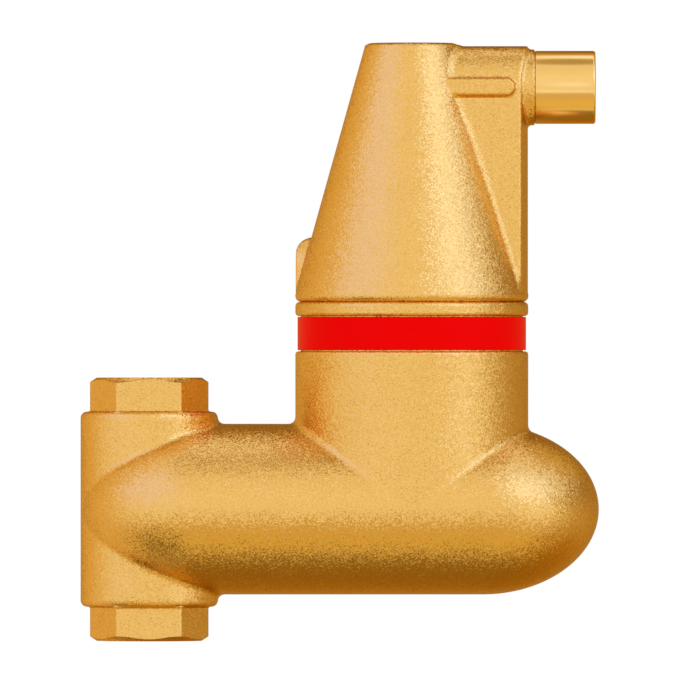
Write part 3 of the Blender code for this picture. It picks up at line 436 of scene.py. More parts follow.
def body_surface(points):
    """The cast body's outer surface: chamber, tower and boss with their fillets."""
    x, y, z = points.T
    along = x - np.clip(x, CHAMBER_LEFT, CHAMBER_RIGHT)
    above = z - CHAMBER_Z
    oval = (CHAMBER_HALF_WIDTH, CHAMBER_HALF_WIDTH, CHAMBER_HALF_HEIGHT)
    chamber = from_oval(np.stack([along, y, above], 1), np.array(oval))
    foot = (TOWER_RADIUS, TOWER_RADIUS, TOWER_FOOT)
    below = np.minimum(above, 0.0)
    tower = from_oval(np.stack([x - TOWER_X, y, below], 1), np.array(foot))
    side = from_middle(about_axis(points, 0.0), BOSS_RADIUS)
    ends = from_middle(np.stack([0 * x, 0 * y, above], 1), BOSS_HALF_HEIGHT)
    boss = cut(side, ends, BOSS_EDGE)
    return join(join(chamber, tower, TOWER_FILLET), boss, BOSS_FILLET)


def arch_side(across, up, outwards_axis, up_from, half_width):
    """Distance to an upright arch, for offsets across it, and the way out from it."""
    over = np.maximum(up - up_from, 0.0)
    reach = np.maximum(np.hypot(across, over), TINY)
    level = (across / reach)[:, None] * np.array(outwards_axis)
    rise = (over / reach)[:, None] * np.array((0.0, 0.0, 1.0))
    return reach - half_width, level + rise


def head_surface(points):
    """The vent head's outer surface: cone, web with barrel, lug, collar and strip."""
    x, y, z = points.T
    lean = math.atan(CONE_SLOPE)
    level = about_axis(points, TOWER_X)
    reach = length_of(level)
    cone_way = level / reach[:, None] * math.cos(lean) + (0.0, 0.0, math.sin(lean))
    cone_radius = HEAD_TOP_RADIUS + CONE_SLOPE * (HEAD_TOP - z)
    side = ((reach - cone_radius) * math.cos(lean), cone_way)
    edge_way = (level / reach[:, None] * math.cos(HEAD_EDGE_LEAN)
                + (0.0, 0.0, math.sin(HEAD_EDGE_LEAN)))
    edge_distance = ((reach - HEAD_TOP_RADIUS + HEAD_EDGE) * math.cos(HEAD_EDGE_LEAN)
                     + (z - HEAD_TOP) * math.sin(HEAD_EDGE_LEAN))
    cone = cut(side, (edge_distance, edge_way), HEAD_EDGE_ROUND)
    cone = cut(cone, from_plane(points, (0.0, 0.0, 1.0), HEAD_TOP), HEAD_EDGE_ROUND)
    outer = from_middle(level, HEAD_OUTER_LIMIT)
    arch = arch_side(y, z, (0.0, 1.0, 0.0), VENT_Z, BARREL_RADIUS)
    web = cut(cut(arch, outer, WEB_EDGE), from_plane(points, (-1.0, 0.0, 0.0), -TOWER_X), WELD)
    outwards = (math.cos(LUG_TURN), math.sin(LUG_TURN), 0.0)
    sideways = (-math.sin(LUG_TURN), math.cos(LUG_TURN), 0.0)
    lug_arch = arch_side(level @ np.array(sideways), z, sideways, LUG_TOP - LUG_HALF_WIDTH,
                         LUG_HALF_WIDTH)
    inner_plane = from_plane(points, tuple(-a for a in outwards), -TOWER_X * outwards[0])
    lug_end = cut(outer, from_plane(points, (0.0, 0.0, 1.0), LUG_TOP), LUG_CORNER)
    lug = cut(cut(lug_arch, lug_end, LUG_EDGE), inner_plane, WELD)
    round_side = from_middle(np.stack([0 * x, y, z - VENT_Z], 1), COLLAR_RADIUS)
    collar_face = from_plane(points, (1.0, 0.0, 0.0), COLLAR_END)
    collar = cut(cut(round_side, collar_face, COLLAR_EDGE),
                 from_plane(points, (-1.0, 0.0, 0.0), -COLLAR_END + COLLAR_LENGTH), WELD)
    past_end = np.maximum(x - STRIP_END, 0.0)
    strip_across, strip_way = from_middle(np.stack([past_end, 0 * y, z - VENT_Z], 1), 0.0)
    strip_half = STRIP_HALF_HEIGHT - (np.abs(y) - STRIP_ROOT) * math.tan(STRIP_DRAFT)
    strip_way = strip_way * math.cos(STRIP_DRAFT)
    strip_way[:, 1] += np.sign(y) * math.sin(STRIP_DRAFT)
    strip_side = ((strip_across - strip_half) * math.cos(STRIP_DRAFT), strip_way)
    strip_face = from_middle(np.stack([0 * x, y, 0 * z], 1), STRIP_HALF_WIDTH)
    strip = cut(cut(strip_side, strip_face, STRIP_EDGE),
                from_plane(points, (-1.0, 0.0, 0.0), -STRIP_START), WELD)
    head = join(join(cone, web, WEB_FILLET, WEB_FILLET_FADE), lug, LUG_FILLET)
    return join(join(head, collar, COLLAR_FILLET), strip, STRIP_FILLET)


def settle(piece, surface, step):
    """The points of a remeshed casting moved on to its exact surface."""
    points = points_of(piece)
    for _ in range(SETTLE_ROUNDS):
        distance, way = surface(points)
        points = points - np.clip(distance, -step, step)[:, None] * way
    set_points(piece, points)


def cast_in_one(name, forms, grid, surface):
    """Rough forms melted into one skin, and that skin settled on the true surface."""
    piece = unite(name, forms)
    apply_modifier(piece, "REMESH", mode="VOXEL", voxel_size=grid, adaptivity=0.0)
    settle(piece, surface, grid)
    return piece


def open_at(piece, height, keep_above):
    """The piece cut level, and in edit mode with the open loop selected."""
    make_active(piece)
    bpy.ops.object.mode_set(mode="EDIT")
    bpy.ops.mesh.select_mode(type="VERT")
    bpy.ops.mesh.select_all(action="SELECT")
    bpy.ops.mesh.bisect(
        plane_co=(0.0, 0.0, height),
        plane_no=(0.0, 0.0, 1.0),
        clear_inner=keep_above,
        clear_outer=not keep_above,
        threshold=WELD,
    )
    bpy.ops.mesh.select_mode(type="EDGE")
    bpy.ops.mesh.select_all(action="DESELECT")
    bpy.ops.mesh.select_non_manifold()


def close_end():
    """The selected loop filled, and edit mode left."""
    bpy.ops.mesh.edge_face_add()
    bpy.ops.mesh.select_all(action="SELECT")
    bpy.ops.mesh.normals_make_consistent(inside=False)
    bpy.ops.object.mode_set(mode="OBJECT")


def capsule(half_width, half_height):
    """A flattened ball drawn out along X between the chamber's end centres."""
    deselect_all()
    bpy.ops.mesh.primitive_uv_sphere_add(
        segments=72, ring_count=36, radius=1.0, rotation=(0.0, math.pi / 2, 0.0)
    )
    piece = bpy.context.object
    apply_place(piece)
    piece.scale = (half_width, half_width, half_height)
    piece.location = (CHAMBER_LEFT, 0.0, CHAMBER_Z)
    apply_place(piece)
    select_where(piece, "polygons", lambda face: face.center.x > CHAMBER_LEFT)
    bpy.ops.mesh.select_mode(type="FACE")
    bpy.ops.mesh.extrude_region_move(
        TRANSFORM_OT_translate={"value": (CHAMBER_RIGHT - CHAMBER_LEFT, 0.0, 0.0)}
    )
    bpy.ops.object.mode_set(mode="OBJECT")
    return piece


def hexagon_ring():
    """Points round a port's spanner flats, cut square at both ends, with rounded corners."""
    side = HEX_ACROSS_FLATS / math.sqrt(3.0)
    flat = HEX_ACROSS_FLATS / 2
    end = (side - HEX_HALF_LENGTH) * math.sqrt(3.0)
    quarter = [(HEX_HALF_LENGTH, end), (side / 2, flat)]
    half = quarter + [(-x, y) for x, y in reversed(quarter)]
    corners = np.array(half + [(-x, -y) for x, y in half])
    ring = []
    for before, corner, after in zip(np.roll(corners, 1, 0), corners, np.roll(corners, -1, 0)):
        way_in = (corner - before) / np.linalg.norm(corner - before)
        way_out = (after - corner) / np.linalg.norm(after - corner)
        turn = math.acos(way_in @ way_out)
        start = corner - way_in * HEX_CORNER * math.tan(turn / 2)
        middle = start + HEX_CORNER * np.array((-way_in[1], way_in[0]))
        for step in range(5):
            angle = turn * step / 4
            outwards = np.array((way_in[1], -way_in[0]))
            ring.append(middle + HEX_CORNER * (outwards * math.cos(angle) + way_in * math.sin(angle)))
    return np.array(ring)


def port_hexagon(face, inwards):
    """One port's spanner flats, filleted into the boss and chamfered towards its face."""
    boss_end = CHAMBER_Z - BOSS_HALF_HEIGHT
    flat = HEX_ACROSS_FLATS / 2
    foot = [
        (flat + HEX_FILLET, boss_end + HEX_ROOT),
        *arc((flat + HEX_FILLET, boss_end - HEX_FILLET), HEX_FILLET, 90, 180, 4),
        (flat, -PAST),
    ]
    outline = [(radius, face + inwards * height) for radius, height in foot]
    prism = turned("hexagon", outline, ring=hexagon_ring() * (flat + HEX_FILLET) / flat)
    corner = flat * 2 / math.sqrt(3.0)
    full = corner + HEX_CHAMFER_REACH
    chamfer = [
        (HEX_HALF_LENGTH - HEX_CHAMFER_WIDTH, face),
        (HEX_HALF_LENGTH, face + inwards * HEX_CHAMFER_DROP),
        (full, face + inwards * (HEX_CHAMFER_DROP + HEX_CHAMFER_TAIL)),
        (full, CHAMBER_Z),
    ]
    combine(prism, turned("hexagon_end", chamfer), "INTERSECT")
    apply_modifier(prism, "BEVEL", width=HEX_BEVEL, segments=2, limit_method="ANGLE",
                   angle_limit=HEX_BEVEL_ANGLE)
    return prism


def thread_radius(from_face, turn):
    """The port's radius at a depth and an angle, with its thread and lead-in."""
    wave = np.abs(((from_face / THREAD_PITCH - turn) % 1.0) * 2.0 - 1.0)
    tooth = np.clip((wave - THREAD_CREST) / THREAD_FLANKS, 0.0, 1.0)
    fade = np.clip((THREAD_STOP - from_face) / THREAD_FADE, 0.0, 1.0)
    lead_in = PORT_RADIUS + PORT_LEAD_IN - from_face
    return np.maximum(PORT_RADIUS + THREAD_DEPTH * tooth * fade, lead_in)


def pipe_cutter():
    """The bore from port to port, with a thread in each port."""
    rows = np.arange(-PAST, PORT_DEPTH, THREAD_PITCH / THREAD_ROWS)
    lower = [(PORT_RADIUS, height) for height in rows] + [(PORT_RADIUS, PORT_DEPTH)]
    widening = PORT_DEPTH + PIPE_WIDE - PORT_RADIUS
    upper = [(radius, FACE_TO_FACE - height) for radius, height in reversed(lower)]
    middle = [(PIPE_WIDE, widening), (PIPE_WIDE, FACE_TO_FACE - widening)]
    piece = turned("pipe_cutter", lower + middle + upper, steps=BORE_STEPS)
    points = points_of(piece)
    x, y, z = points.T
    from_face = np.minimum(z, FACE_TO_FACE - z)
    threaded = from_face < PORT_DEPTH + WELD
    reach = np.hypot(x, y)
    wanted = np.where(threaded, thread_radius(from_face, np.arctan2(y, x) / (2 * math.pi)), reach)
    points[:, :2] *= (wanted / np.maximum(reach, WELD))[:, None]
    set_points(piece, points)
    return piece


def make_body():
    """The cast body: chamber, tower, boss and ports, hollow inside."""
    forms = [
        capsule(CHAMBER_HALF_WIDTH, CHAMBER_HALF_HEIGHT),
        cylinder(TOWER_X, 0.0, CHAMBER_Z, TOWER_BLANK_TOP, TOWER_RADIUS),
        cylinder(0.0, 0.0, CHAMBER_Z - BOSS_HALF_HEIGHT, CHAMBER_Z + BOSS_HALF_HEIGHT, BOSS_RADIUS),
    ]
    body = cast_in_one("body_shell", forms, BODY_GRID, body_surface)
    open_at(body, TOWER_CUT, keep_above=False)
    edge = TOWER_RADIUS - RECESS_EDGE
    rim = TOWER_RADIUS - TOWER_EDGE
    outline = [
        (TOWER_RADIUS, TOWER_CUT),
        *arc((edge, RECESS_LOW - RECESS_EDGE), RECESS_EDGE, 0, 90),
        (RECESS_RADIUS, RECESS_LOW),
        (RECESS_RADIUS, RECESS_HIGH),
        *arc((TOWER_RADIUS - RIM_LOWER_EDGE, RECESS_HIGH + RIM_LOWER_EDGE), RIM_LOWER_EDGE, -90, 0),
        *arc((rim, TOWER_TOP - TOWER_EDGE), TOWER_EDGE, 0, GROOVE_END, GROOVE_STEPS),
        (rim + TOWER_EDGE * math.cos(math.radians(GROOVE_END)), TOWER_TOP),
    ]
    draw_up(outline, TOWER_X)
    close_end()
    for hexagon in (port_hexagon(0.0, 1.0), port_hexagon(FACE_TO_FACE, -1.0)):
        combine(body, hexagon, "UNION")
    combine(body, capsule(CORE_HALF_WIDTH, CORE_HALF_HEIGHT), "DIFFERENCE")
    bore = [
        (LEDGE_BORE, CHAMBER_Z + PAST),
        (LEDGE_BORE, LEDGE_Z),
        (TOWER_BORE, LEDGE_Z),
        (TOWER_BORE, SEAL_GROOVE_FLOOR),
        (SEAL_GROOVE_RADIUS, SEAL_GROOVE_FLOOR),
        (SEAL_GROOVE_RADIUS, TOWER_TOP + PAST),
    ]
    combine(body, turned("tower_cutter", bore, TOWER_X), "DIFFERENCE")
    combine(body, pipe_cutter(), "DIFFERENCE")
    smooth_shading(body, BODY_SMOOTH_ANGLE)
    apply_modifier(body, "WEIGHTED_NORMAL", keep_sharp=True)
    return body


def web_cutter():
    """The hollow in the web."""
    arch_z = WEB_CORE_HIGH - WEB_CORE_HALF_WIDTH
    half = WEB_CORE_HALF_WIDTH
    reach = TOWER_X + WEB_CORE_REACH
    piece = box((TOWER_X, -half, WEB_CORE_LOW), (reach, half, arch_z))
    arch = lying_cylinder(TOWER_X, reach, half, arch_z, WEB_CORE_STEPS)
    combine(piece, arch, "UNION")
    limit = cylinder(TOWER_X, 0.0, HEAD_BASE, HEAD_TOP, WEB_CORE_LIMIT)
    combine(piece, limit, "INTERSECT")
    return piece


def make_head():
    """The vent head: cone, web, barrel, collar, strip, lug and skirt, hollow inside."""
    low = HEAD_BLANK_FOOT
    foot_radius = HEAD_TOP_RADIUS + CONE_SLOPE * (HEAD_TOP - low)
    deselect_all()
    bpy.ops.mesh.primitive_cone_add(
        vertices=ROUND_STEPS,
        radius1=foot_radius,
        radius2=HEAD_TOP_RADIUS,
        depth=HEAD_TOP - low,
        location=(TOWER_X, 0.0, (HEAD_TOP + low) / 2),
    )
    cone = bpy.context.object
    apply_place(cone)
    half = BARREL_RADIUS
    web = box((TOWER_X, -half, low), (TOWER_X + WEB_BLANK, half, VENT_Z))
    web_limit = cylinder(TOWER_X, 0.0, low, HEAD_TOP + PAST, HEAD_OUTER_LIMIT)
    arch = lying_cylinder(TOWER_X, TOWER_X + ARCH_BLANK, half)
    combine(arch, web_limit, "INTERSECT")
    collar = lying_cylinder(COLLAR_END - COLLAR_BLANK, COLLAR_END, COLLAR_RADIUS)
    strip = box((STRIP_START, -STRIP_HALF_WIDTH, VENT_Z - STRIP_HALF_HEIGHT),
                (STRIP_END, STRIP_HALF_WIDTH, VENT_Z + STRIP_HALF_HEIGHT))
    strip_end = cylinder(0.0, 0.0, -STRIP_HALF_WIDTH, STRIP_HALF_WIDTH, STRIP_HALF_HEIGHT,
                         STRIP_END_STEPS)
    strip_end.rotation_euler = (math.pi / 2, 0.0, 0.0)
    strip_end.location = (STRIP_END, 0.0, VENT_Z)
    apply_place(strip_end)
    lug_arch_z = LUG_TOP - LUG_HALF_WIDTH
    lug = box((0.0, -LUG_HALF_WIDTH, low), (LUG_BLANK, LUG_HALF_WIDTH, lug_arch_z))
    lug_top = lying_cylinder(0.0, LUG_BLANK, LUG_HALF_WIDTH, lug_arch_z)
    lug = unite("lug", [lug, lug_top])
    lug.rotation_euler = (0.0, 0.0, LUG_TURN)
    lug.location = (TOWER_X, 0.0, 0.0)
    apply_place(lug)
    forms = [cone, web, arch, collar, strip, strip_end, lug]
    head = cast_in_one("head_shell", forms, HEAD_GRID, head_surface)
    open_at(head, CONE_CUT, keep_above=True)
    cut_radius = HEAD_TOP_RADIUS + CONE_SLOPE * (HEAD_TOP - CONE_CUT)
    rim = TOWER_RADIUS - HEAD_RIM_EDGE
    outline = [
        (cut_radius, CONE_CUT),
        (TOWER_RADIUS, CONE_BASE),
        *arc((rim, HEAD_BASE + HEAD_RIM_EDGE), HEAD_RIM_EDGE, 0, -GROOVE_END, GROOVE_STEPS),
        (rim + HEAD_RIM_EDGE * math.cos(math.radians(GROOVE_END)), HEAD_BASE),
        (SKIRT_RADIUS, HEAD_BASE),
        (SKIRT_RADIUS, SKIRT_BOTTOM),
    ]
    draw_up(outline, TOWER_X)
    close_end()
    crown_z = HEAD_TOP - CROWN
    straight_top = HEAD_TOP - (SKIRT_BORE + CONE_WALL - HEAD_TOP_RADIUS) / CONE_SLOPE
    crown_radius = HEAD_TOP_RADIUS + CONE_SLOPE * CROWN - CONE_WALL
    core = [
        (SKIRT_BORE, SKIRT_BOTTOM - PAST),
        (SKIRT_BORE, straight_top),
        (crown_radius, crown_z),
    ]
    combine(head, turned("head_cutter", core, TOWER_X), "DIFFERENCE")
    combine(head, web_cutter(), "DIFFERENCE")
    barrel = [
        (VENT_PASSAGE, TOWER_X),
        (VENT_PASSAGE, SEAT_POCKET_START),
        (SEAT_POCKET, SEAT_POCKET_START),
        (SEAT_POCKET, SPIGOT_POCKET_START),
        (SPIGOT_POCKET, SPIGOT_POCKET_START),
        (SPIGOT_POCKET, COLLAR_END + PAST),
    ]
    combine(head, lay_along_x(turned("barrel_cutter", barrel, steps=BORE_STEPS)), "DIFFERENCE")
    smooth_shading(head)
    return head


def make_spigot():
    """The turned outlet with its shank."""
    outline = [
        (SPIGOT_BORE, SHANK_START),
        (SHANK_RADIUS - SHANK_CHAMFER, SHANK_START),
        (SHANK_RADIUS, SHANK_START + SHANK_CHAMFER),
        (SHANK_RADIUS, SHANK_END),
        (SHANK_WAIST, WAIST_START),
        (SHANK_WAIST, SPIGOT_START),
        (SPIGOT_RADIUS - SHOULDER_CHAMFER, SPIGOT_START),
        (SPIGOT_RADIUS, SPIGOT_START + SHOULDER_CHAMFER),
        *arc((SPIGOT_RADIUS - SPIGOT_ROUND, SPIGOT_END - SPIGOT_ROUND), SPIGOT_ROUND, 0, 90, 6),
        (SPIGOT_BORE + SPIGOT_CHAMFER, SPIGOT_END),
        (SPIGOT_BORE, SPIGOT_END - SPIGOT_CHAMFER),
    ]
    spigot = lay_along_x(turned("spigot_turning", outline, closed=True))
    apply_modifier(spigot, "BEVEL", width=SPIGOT_BEVEL, segments=2, limit_method="ANGLE",
                   angle_limit=SPIGOT_BEVEL_ANGLE)
    smooth_shading(spigot)
    return spigot


def make_band():
    """The red band, wound once round the recess with its ends butted at the back."""
    outline = [
        (BAND_INNER, BAND_LOW),
        (BAND_RADIUS - BAND_EDGE, BAND_LOW),
        (BAND_RADIUS, BAND_LOW + BAND_EDGE),
        (BAND_RADIUS, BAND_HIGH - BAND_EDGE),
        (BAND_RADIUS - BAND_EDGE, BAND_HIGH),
        (BAND_INNER, BAND_HIGH),
    ]
    band = turned("band_wrap", outline, TOWER_X, closed=True)
    gap = box((TOWER_X - BAND_HALF_GAP, BAND_GAP_INNER, BAND_LOW - PAST),
              (TOWER_X + BAND_HALF_GAP, BAND_GAP_OUTER, BAND_HIGH + PAST))
    combine(band, gap, "DIFFERENCE")
    smooth_shading(band)
    return band


class Value:
    """A socket that sums and products are written with."""

    def __init__(self, nodes, socket):
        self.nodes = nodes
        self.socket = socket

    def __add__(self, other):
        return self.nodes.math("ADD", self, other)

    __radd__ = __add__

    def __mul__(self, other):
        return self.nodes.math("MULTIPLY", self, other)

    __rmul__ = __mul__

    def __sub__(self, other):
        return self.nodes.math("SUBTRACT", self, other)

    def __rsub__(self, other):
        return self.nodes.math("SUBTRACT", other, self)

    def __truediv__(self, other):
        return self.nodes.math("DIVIDE", self, other)

    def clamped(self):
        """The value kept between 0 and 1."""
        return self.nodes.math("MAXIMUM", self.nodes.math("MINIMUM", self, 1.0), 0.0)


class Nodes:
    """The nodes of one finish, or of the world."""

    def __init__(self, tree):
        self.tree = tree

    def node(self, kind, settings, inputs):
        """A node with its settings, and its sockets set or linked."""
        node = self.tree.nodes.new(kind)
        for name, value in settings.items():
            setattr(node, name, value)
        for key, value in inputs.items():
            if isinstance(value, Value):
                self.tree.links.new(value.socket, node.inputs[key])
            else:
                node.inputs[key].default_value = value
        return node

    def out(self, kind, settings, inputs, output=0):
        """The same, as the value of one output."""
        return Value(self, self.node(kind, settings, inputs).outputs[output])

    def math(self, operation, first, second=0.0):
        """One Math node."""
        return self.out("ShaderNodeMath", {"operation": operation}, {0: first, 1: second})

    def colour(self, factor, first, second):
        """Two colours mixed by a factor."""
        pair = {0: factor, 6: first, 7: second}
        return self.out("ShaderNodeMix", {"data_type": "RGBA"}, pair, 2)

    def ramp(self, factor, stops):
        """A colour ramp through the stops."""
        node = self.node("ShaderNodeValToRGB", {}, {"Fac": factor})
        elements = node.color_ramp.elements
        while len(elements) < len(stops):
            elements.new(1.0)
        for element, (position, colour) in zip(elements, stops):
            element.position = position
            element.color = colour
        return Value(self, node.outputs[0])

    def noise(self, place, scale, detail=2.0, roughness=0.5):
        """A noise value about 0.5."""
        inputs = {"Vector": place, "Scale": scale, "Detail": detail, "Roughness": roughness}
        return self.out("ShaderNodeTexNoise", {}, inputs)

    def place(self):
        """The point in the object's own space, in metres."""
        return self.out("ShaderNodeTexCoord", {}, {}, "Object")

    def vector(self, operation, first, second=(0.0, 0.0, 0.0), output=0):
        """One Vector Math node: its vector, or its number as output 1."""
        pair = {0: first, 1: second}
        return self.out("ShaderNodeVectorMath", {"operation": operation}, pair, output)

    def facets(self, place, scale):
        """A colour of its own for each small cell."""
        inputs = {"Vector": place, "Scale": scale}
        return self.out("ShaderNodeTexVoronoi", {}, inputs, "Color")

    def leaning(self, facets, amount):
        """The surface's normal, leaned by each facet's colour."""
        lean = self.vector("MULTIPLY", self.vector("SUBTRACT", facets, (0.5, 0.5, 0.5)),
                           (amount, amount, amount))
        normal = self.out("ShaderNodeNewGeometry", {}, {}, "Normal")
        return self.vector("NORMALIZE", self.vector("ADD", normal, lean))

    def relief(self, height, distance, strength=1.0, normal=None):
        """A bump that lifts the surface by a distance where the height is 1."""
        inputs = {"Height": height, "Distance": distance, "Strength": strength}
        if normal is not None:
            inputs["Normal"] = normal
        return self.out("ShaderNodeBump", {}, inputs)


def new_finish(name, constants, build):
    """A procedural material: constants on its shader, and what the builder feeds it."""
    material = bpy.data.materials.new(name)
    material.use_nodes = True
    material.node_tree.nodes.clear()
    nodes = Nodes(material.node_tree)
    varying = build(nodes)
    shader = nodes.out("ShaderNodeBsdfPrincipled", {}, {**constants, **varying})
    nodes.node("ShaderNodeOutputMaterial", {}, {"Surface": shader})
    return material


def rgb(red, green, blue):
    """A colour with full alpha."""
    return (red, green, blue, 1.0)


# How much finer than a metre the noise runs along each axis
TOOL_LINES = (4200.0, 30.0, 30.0)
DRAWN_LINES = (180.0, 180.0, 2600.0)


def cast_brass(nodes):
    """Fine blasted skin of a brass casting: small facets that each lean their own way."""
    place = nodes.place()
    facets = nodes.facets(place, scale=2600.0)
    grain = nodes.noise(place, scale=1700.0, roughness=0.6)
    cloud = nodes.noise(place, scale=140.0, detail=3.0, roughness=0.6)
    shade = ((grain - 0.5) * 2.0 + (cloud - 0.5) * 0.4 + 0.5).clamped()
    return {
        "Base Color": nodes.colour(shade, rgb(0.845, 0.535, 0.165), rgb(0.965, 0.675, 0.285)),
        "Roughness": 0.15 + grain * 0.08 + cloud * 0.04,
        "Normal": nodes.relief(grain, distance=0.1 * MM, normal=nodes.leaning(facets, amount=0.31)),
    }


def turned_brass(nodes):
    """Smooth turned brass with fine tool lines round its axis along X."""
    place = nodes.place()
    lines = nodes.noise(nodes.vector("MULTIPLY", place, TOOL_LINES), scale=1.0)
    cloud = nodes.noise(place, scale=160.0)
    return {
        "Base Color": nodes.colour(cloud, rgb(1.0, 0.70, 0.31), rgb(1.0, 0.735, 0.345)),
        "Roughness": 0.16 + lines * 0.06,
        "Normal": nodes.relief(lines, distance=0.006 * MM),
    }


def red_band(nodes):
    """Plain red gloss film."""
    place = nodes.place()
    waves = nodes.noise(place, scale=90.0)
    fine = nodes.noise(place, scale=1800.0, detail=1.0)
    return {
        "Base Color": nodes.colour(waves, rgb(0.98, 0.0006, 0.0012), rgb(1.0, 0.0008, 0.0016)),
        "Roughness": 0.30 + fine * 0.08,
        "Normal": nodes.relief(waves * 0.6 + fine * 0.1, distance=0.05 * MM),
    }


def rubber(nodes):
    """Matt black rubber."""
    place = nodes.place()
    fine = nodes.noise(place, scale=1600.0, detail=3.0, roughness=0.6)
    return {
        "Base Color": nodes.colour(fine, rgb(0.018, 0.018, 0.018), rgb(0.045, 0.045, 0.043)),
        "Roughness": 0.6 + fine * 0.25,
        "Normal": nodes.relief(fine, distance=0.02 * MM),
    }


def stainless(nodes):
    """Bright rolled steel with fine drawn lines."""
    place = nodes.place()
    drawn = nodes.noise(nodes.vector("MULTIPLY", place, DRAWN_LINES), scale=1.0, roughness=0.6)
    cloud = nodes.noise(place, scale=220.0)
    return {
        "Base Color": nodes.colour(cloud, rgb(0.56, 0.56, 0.55), rgb(0.68, 0.67, 0.65)),
        "Roughness": 0.22 + drawn * 0.16,
        "Normal": nodes.relief(drawn, distance=0.012 * MM),
    }


def float_plastic(nodes):
    """Off-white moulded plastic."""
    place = nodes.place()
    cloud = nodes.noise(place, scale=120.0)
    fine = nodes.noise(place, scale=1500.0)
    return {
        "Base Color": nodes.colour(cloud, rgb(0.80, 0.79, 0.74), rgb(0.87, 0.86, 0.82)),
        "Roughness": 0.38 + fine * 0.12,
        "Normal": nodes.relief(fine, distance=0.01 * MM),
    }


BRASS = {"Metallic": 1.0, "Specular Tint": rgb(0.84, 0.66, 0.44)}
FINISHES = {
    "cast_brass": new_finish("cast_brass_skin", BRASS, cast_brass),
    "turned_brass": new_finish("turned_brass_skin", BRASS, turned_brass),
    "red_band": new_finish("red_band_film", {"Metallic": 0.0, "IOR": 1.1}, red_band),
    "rubber": new_finish("rubber_skin", {"Metallic": 0.0}, rubber),
    "stainless": new_finish("stainless_sheet", {"Metallic": 1.0}, stainless),
    "float_plastic": new_finish("float_moulding", {"Metallic": 0.0}, float_plastic),
}


def dress(piece, slot, body, *replaced):
    """A new piece with its finish, riding on its body in place of CAD nodes."""
    piece.data.materials.clear()
    piece.data.materials.append(FINISHES[slot])
    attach(piece, body)
    if replaced:
        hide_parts(*replaced)


def dress_cad_nodes():
    """Every carried-over CAD node given the finish of its slot."""
    for part in frame["record"]["subparts"]:
        node = frame["nodes"][part["node"]]
        for slot in node.material_slots:
            slot.material = FINISHES[part["material_slot"]]


def facing(azimuth, elevation):
    """The direction at an azimuth from the camera's side towards +X, and an elevation."""
    turn = math.radians(azimuth)
    rise = math.radians(elevation)
    return (math.sin(turn) * math.cos(rise), -math.cos(turn) * math.cos(rise), math.sin(rise))


def soft_box(nodes, direction, aim, inner, outer):
    """How much of a round soft light a direction meets: all inside one angle, none outside another."""
    dot = nodes.vector("DOT_PRODUCT", direction, aim, output=1)
    near = math.cos(math.radians(inner))
    far = math.cos(math.radians(outer))
    return ((dot - far) / (near - far)).clamped()


def strip_light(nodes, direction, aim, along, half_width, half_length):
    """How much of a long narrow light a direction meets."""
    across = np.cross(aim, along)
    across = tuple(across / np.linalg.norm(across))
    off = nodes.math("ABSOLUTE", nodes.vector("DOT_PRODUCT", direction, across, output=1))
    full = math.sin(math.radians(half_width * 0.7))
    gone = math.sin(math.radians(half_width * 1.3))
    width_share = ((gone - off) / (gone - full)).clamped()
    return width_share * soft_box(nodes, direction, aim, half_length * 0.8, half_length)


# The studio's colours on the camera's side and behind, from straight down at 0 to straight up at 1
FRONT_SHADES = (
    (0.0, rgb(0.26, 0.20, 0.09)),
    (0.010, rgb(0.24, 0.19, 0.08)),
    (0.013, rgb(1.08, 0.97, 0.62)),
    (0.023, rgb(1.02, 0.90, 0.53)),
    (0.027, rgb(0.70, 0.55, 0.22)),
    (0.040, rgb(0.82, 0.66, 0.28)),
    (0.075, rgb(0.84, 0.67, 0.25)),
    (0.135, rgb(0.83, 0.66, 0.28)),
    (0.205, rgb(0.76, 0.60, 0.30)),
    (0.300, rgb(0.70, 0.58, 0.36)),
    (0.350, rgb(0.72, 0.62, 0.42)),
    (0.362, rgb(1.02, 1.08, 1.18)),
    (0.410, rgb(1.00, 1.02, 1.02)),
    (0.450, rgb(0.95, 0.92, 0.84)),
    (0.540, rgb(0.96, 0.94, 0.86)),
    (0.700, rgb(1.01, 1.01, 1.00)),
    (0.820, rgb(0.98, 0.97, 0.86)),
    (0.890, rgb(0.95, 0.91, 0.76)),
    (0.941, rgb(0.92, 0.89, 0.80)),
    (0.978, rgb(0.95, 0.94, 0.95)),
    (0.987, rgb(0.50, 0.41, 0.20)),
    (1.0, rgb(0.46, 0.38, 0.18)),
)
BACK_SHADES = (
    (0.0, rgb(0.30, 0.23, 0.09)),
    (0.010, rgb(0.26, 0.18, 0.06)),
    (0.030, rgb(0.33, 0.20, 0.04)),
    (0.076, rgb(0.33, 0.18, 0.022)),
    (0.140, rgb(0.37, 0.19, 0.015)),
    (0.240, rgb(0.50, 0.28, 0.02)),
    (0.340, rgb(0.62, 0.44, 0.16)),
    (0.470, rgb(0.60, 0.45, 0.21)),
    (0.560, rgb(0.53, 0.40, 0.18)),
    (0.700, rgb(0.26, 0.15, 0.04)),
    (0.828, rgb(0.42, 0.27, 0.06)),
    (0.895, rgb(0.56, 0.42, 0.17)),
    (0.921, rgb(0.60, 0.46, 0.22)),
    (0.938, rgb(1.20, 1.30, 1.75)),
    (0.981, rgb(1.28, 1.42, 2.10)),
    (0.988, rgb(0.54, 0.45, 0.23)),
    (1.0, rgb(0.46, 0.38, 0.18)),
)

# Behind on the left the studio is paler, and the front blends into the back over this half width
LEFT_SHADE = rgb(0.84, 0.66, 0.36)
LEFT_STEEPNESS = 1.8
SIDE_BLEND = 0.28

# All of the studio's light is multiplied by this
STUDIO_WARMTH = (0.937, 0.816, 0.562)

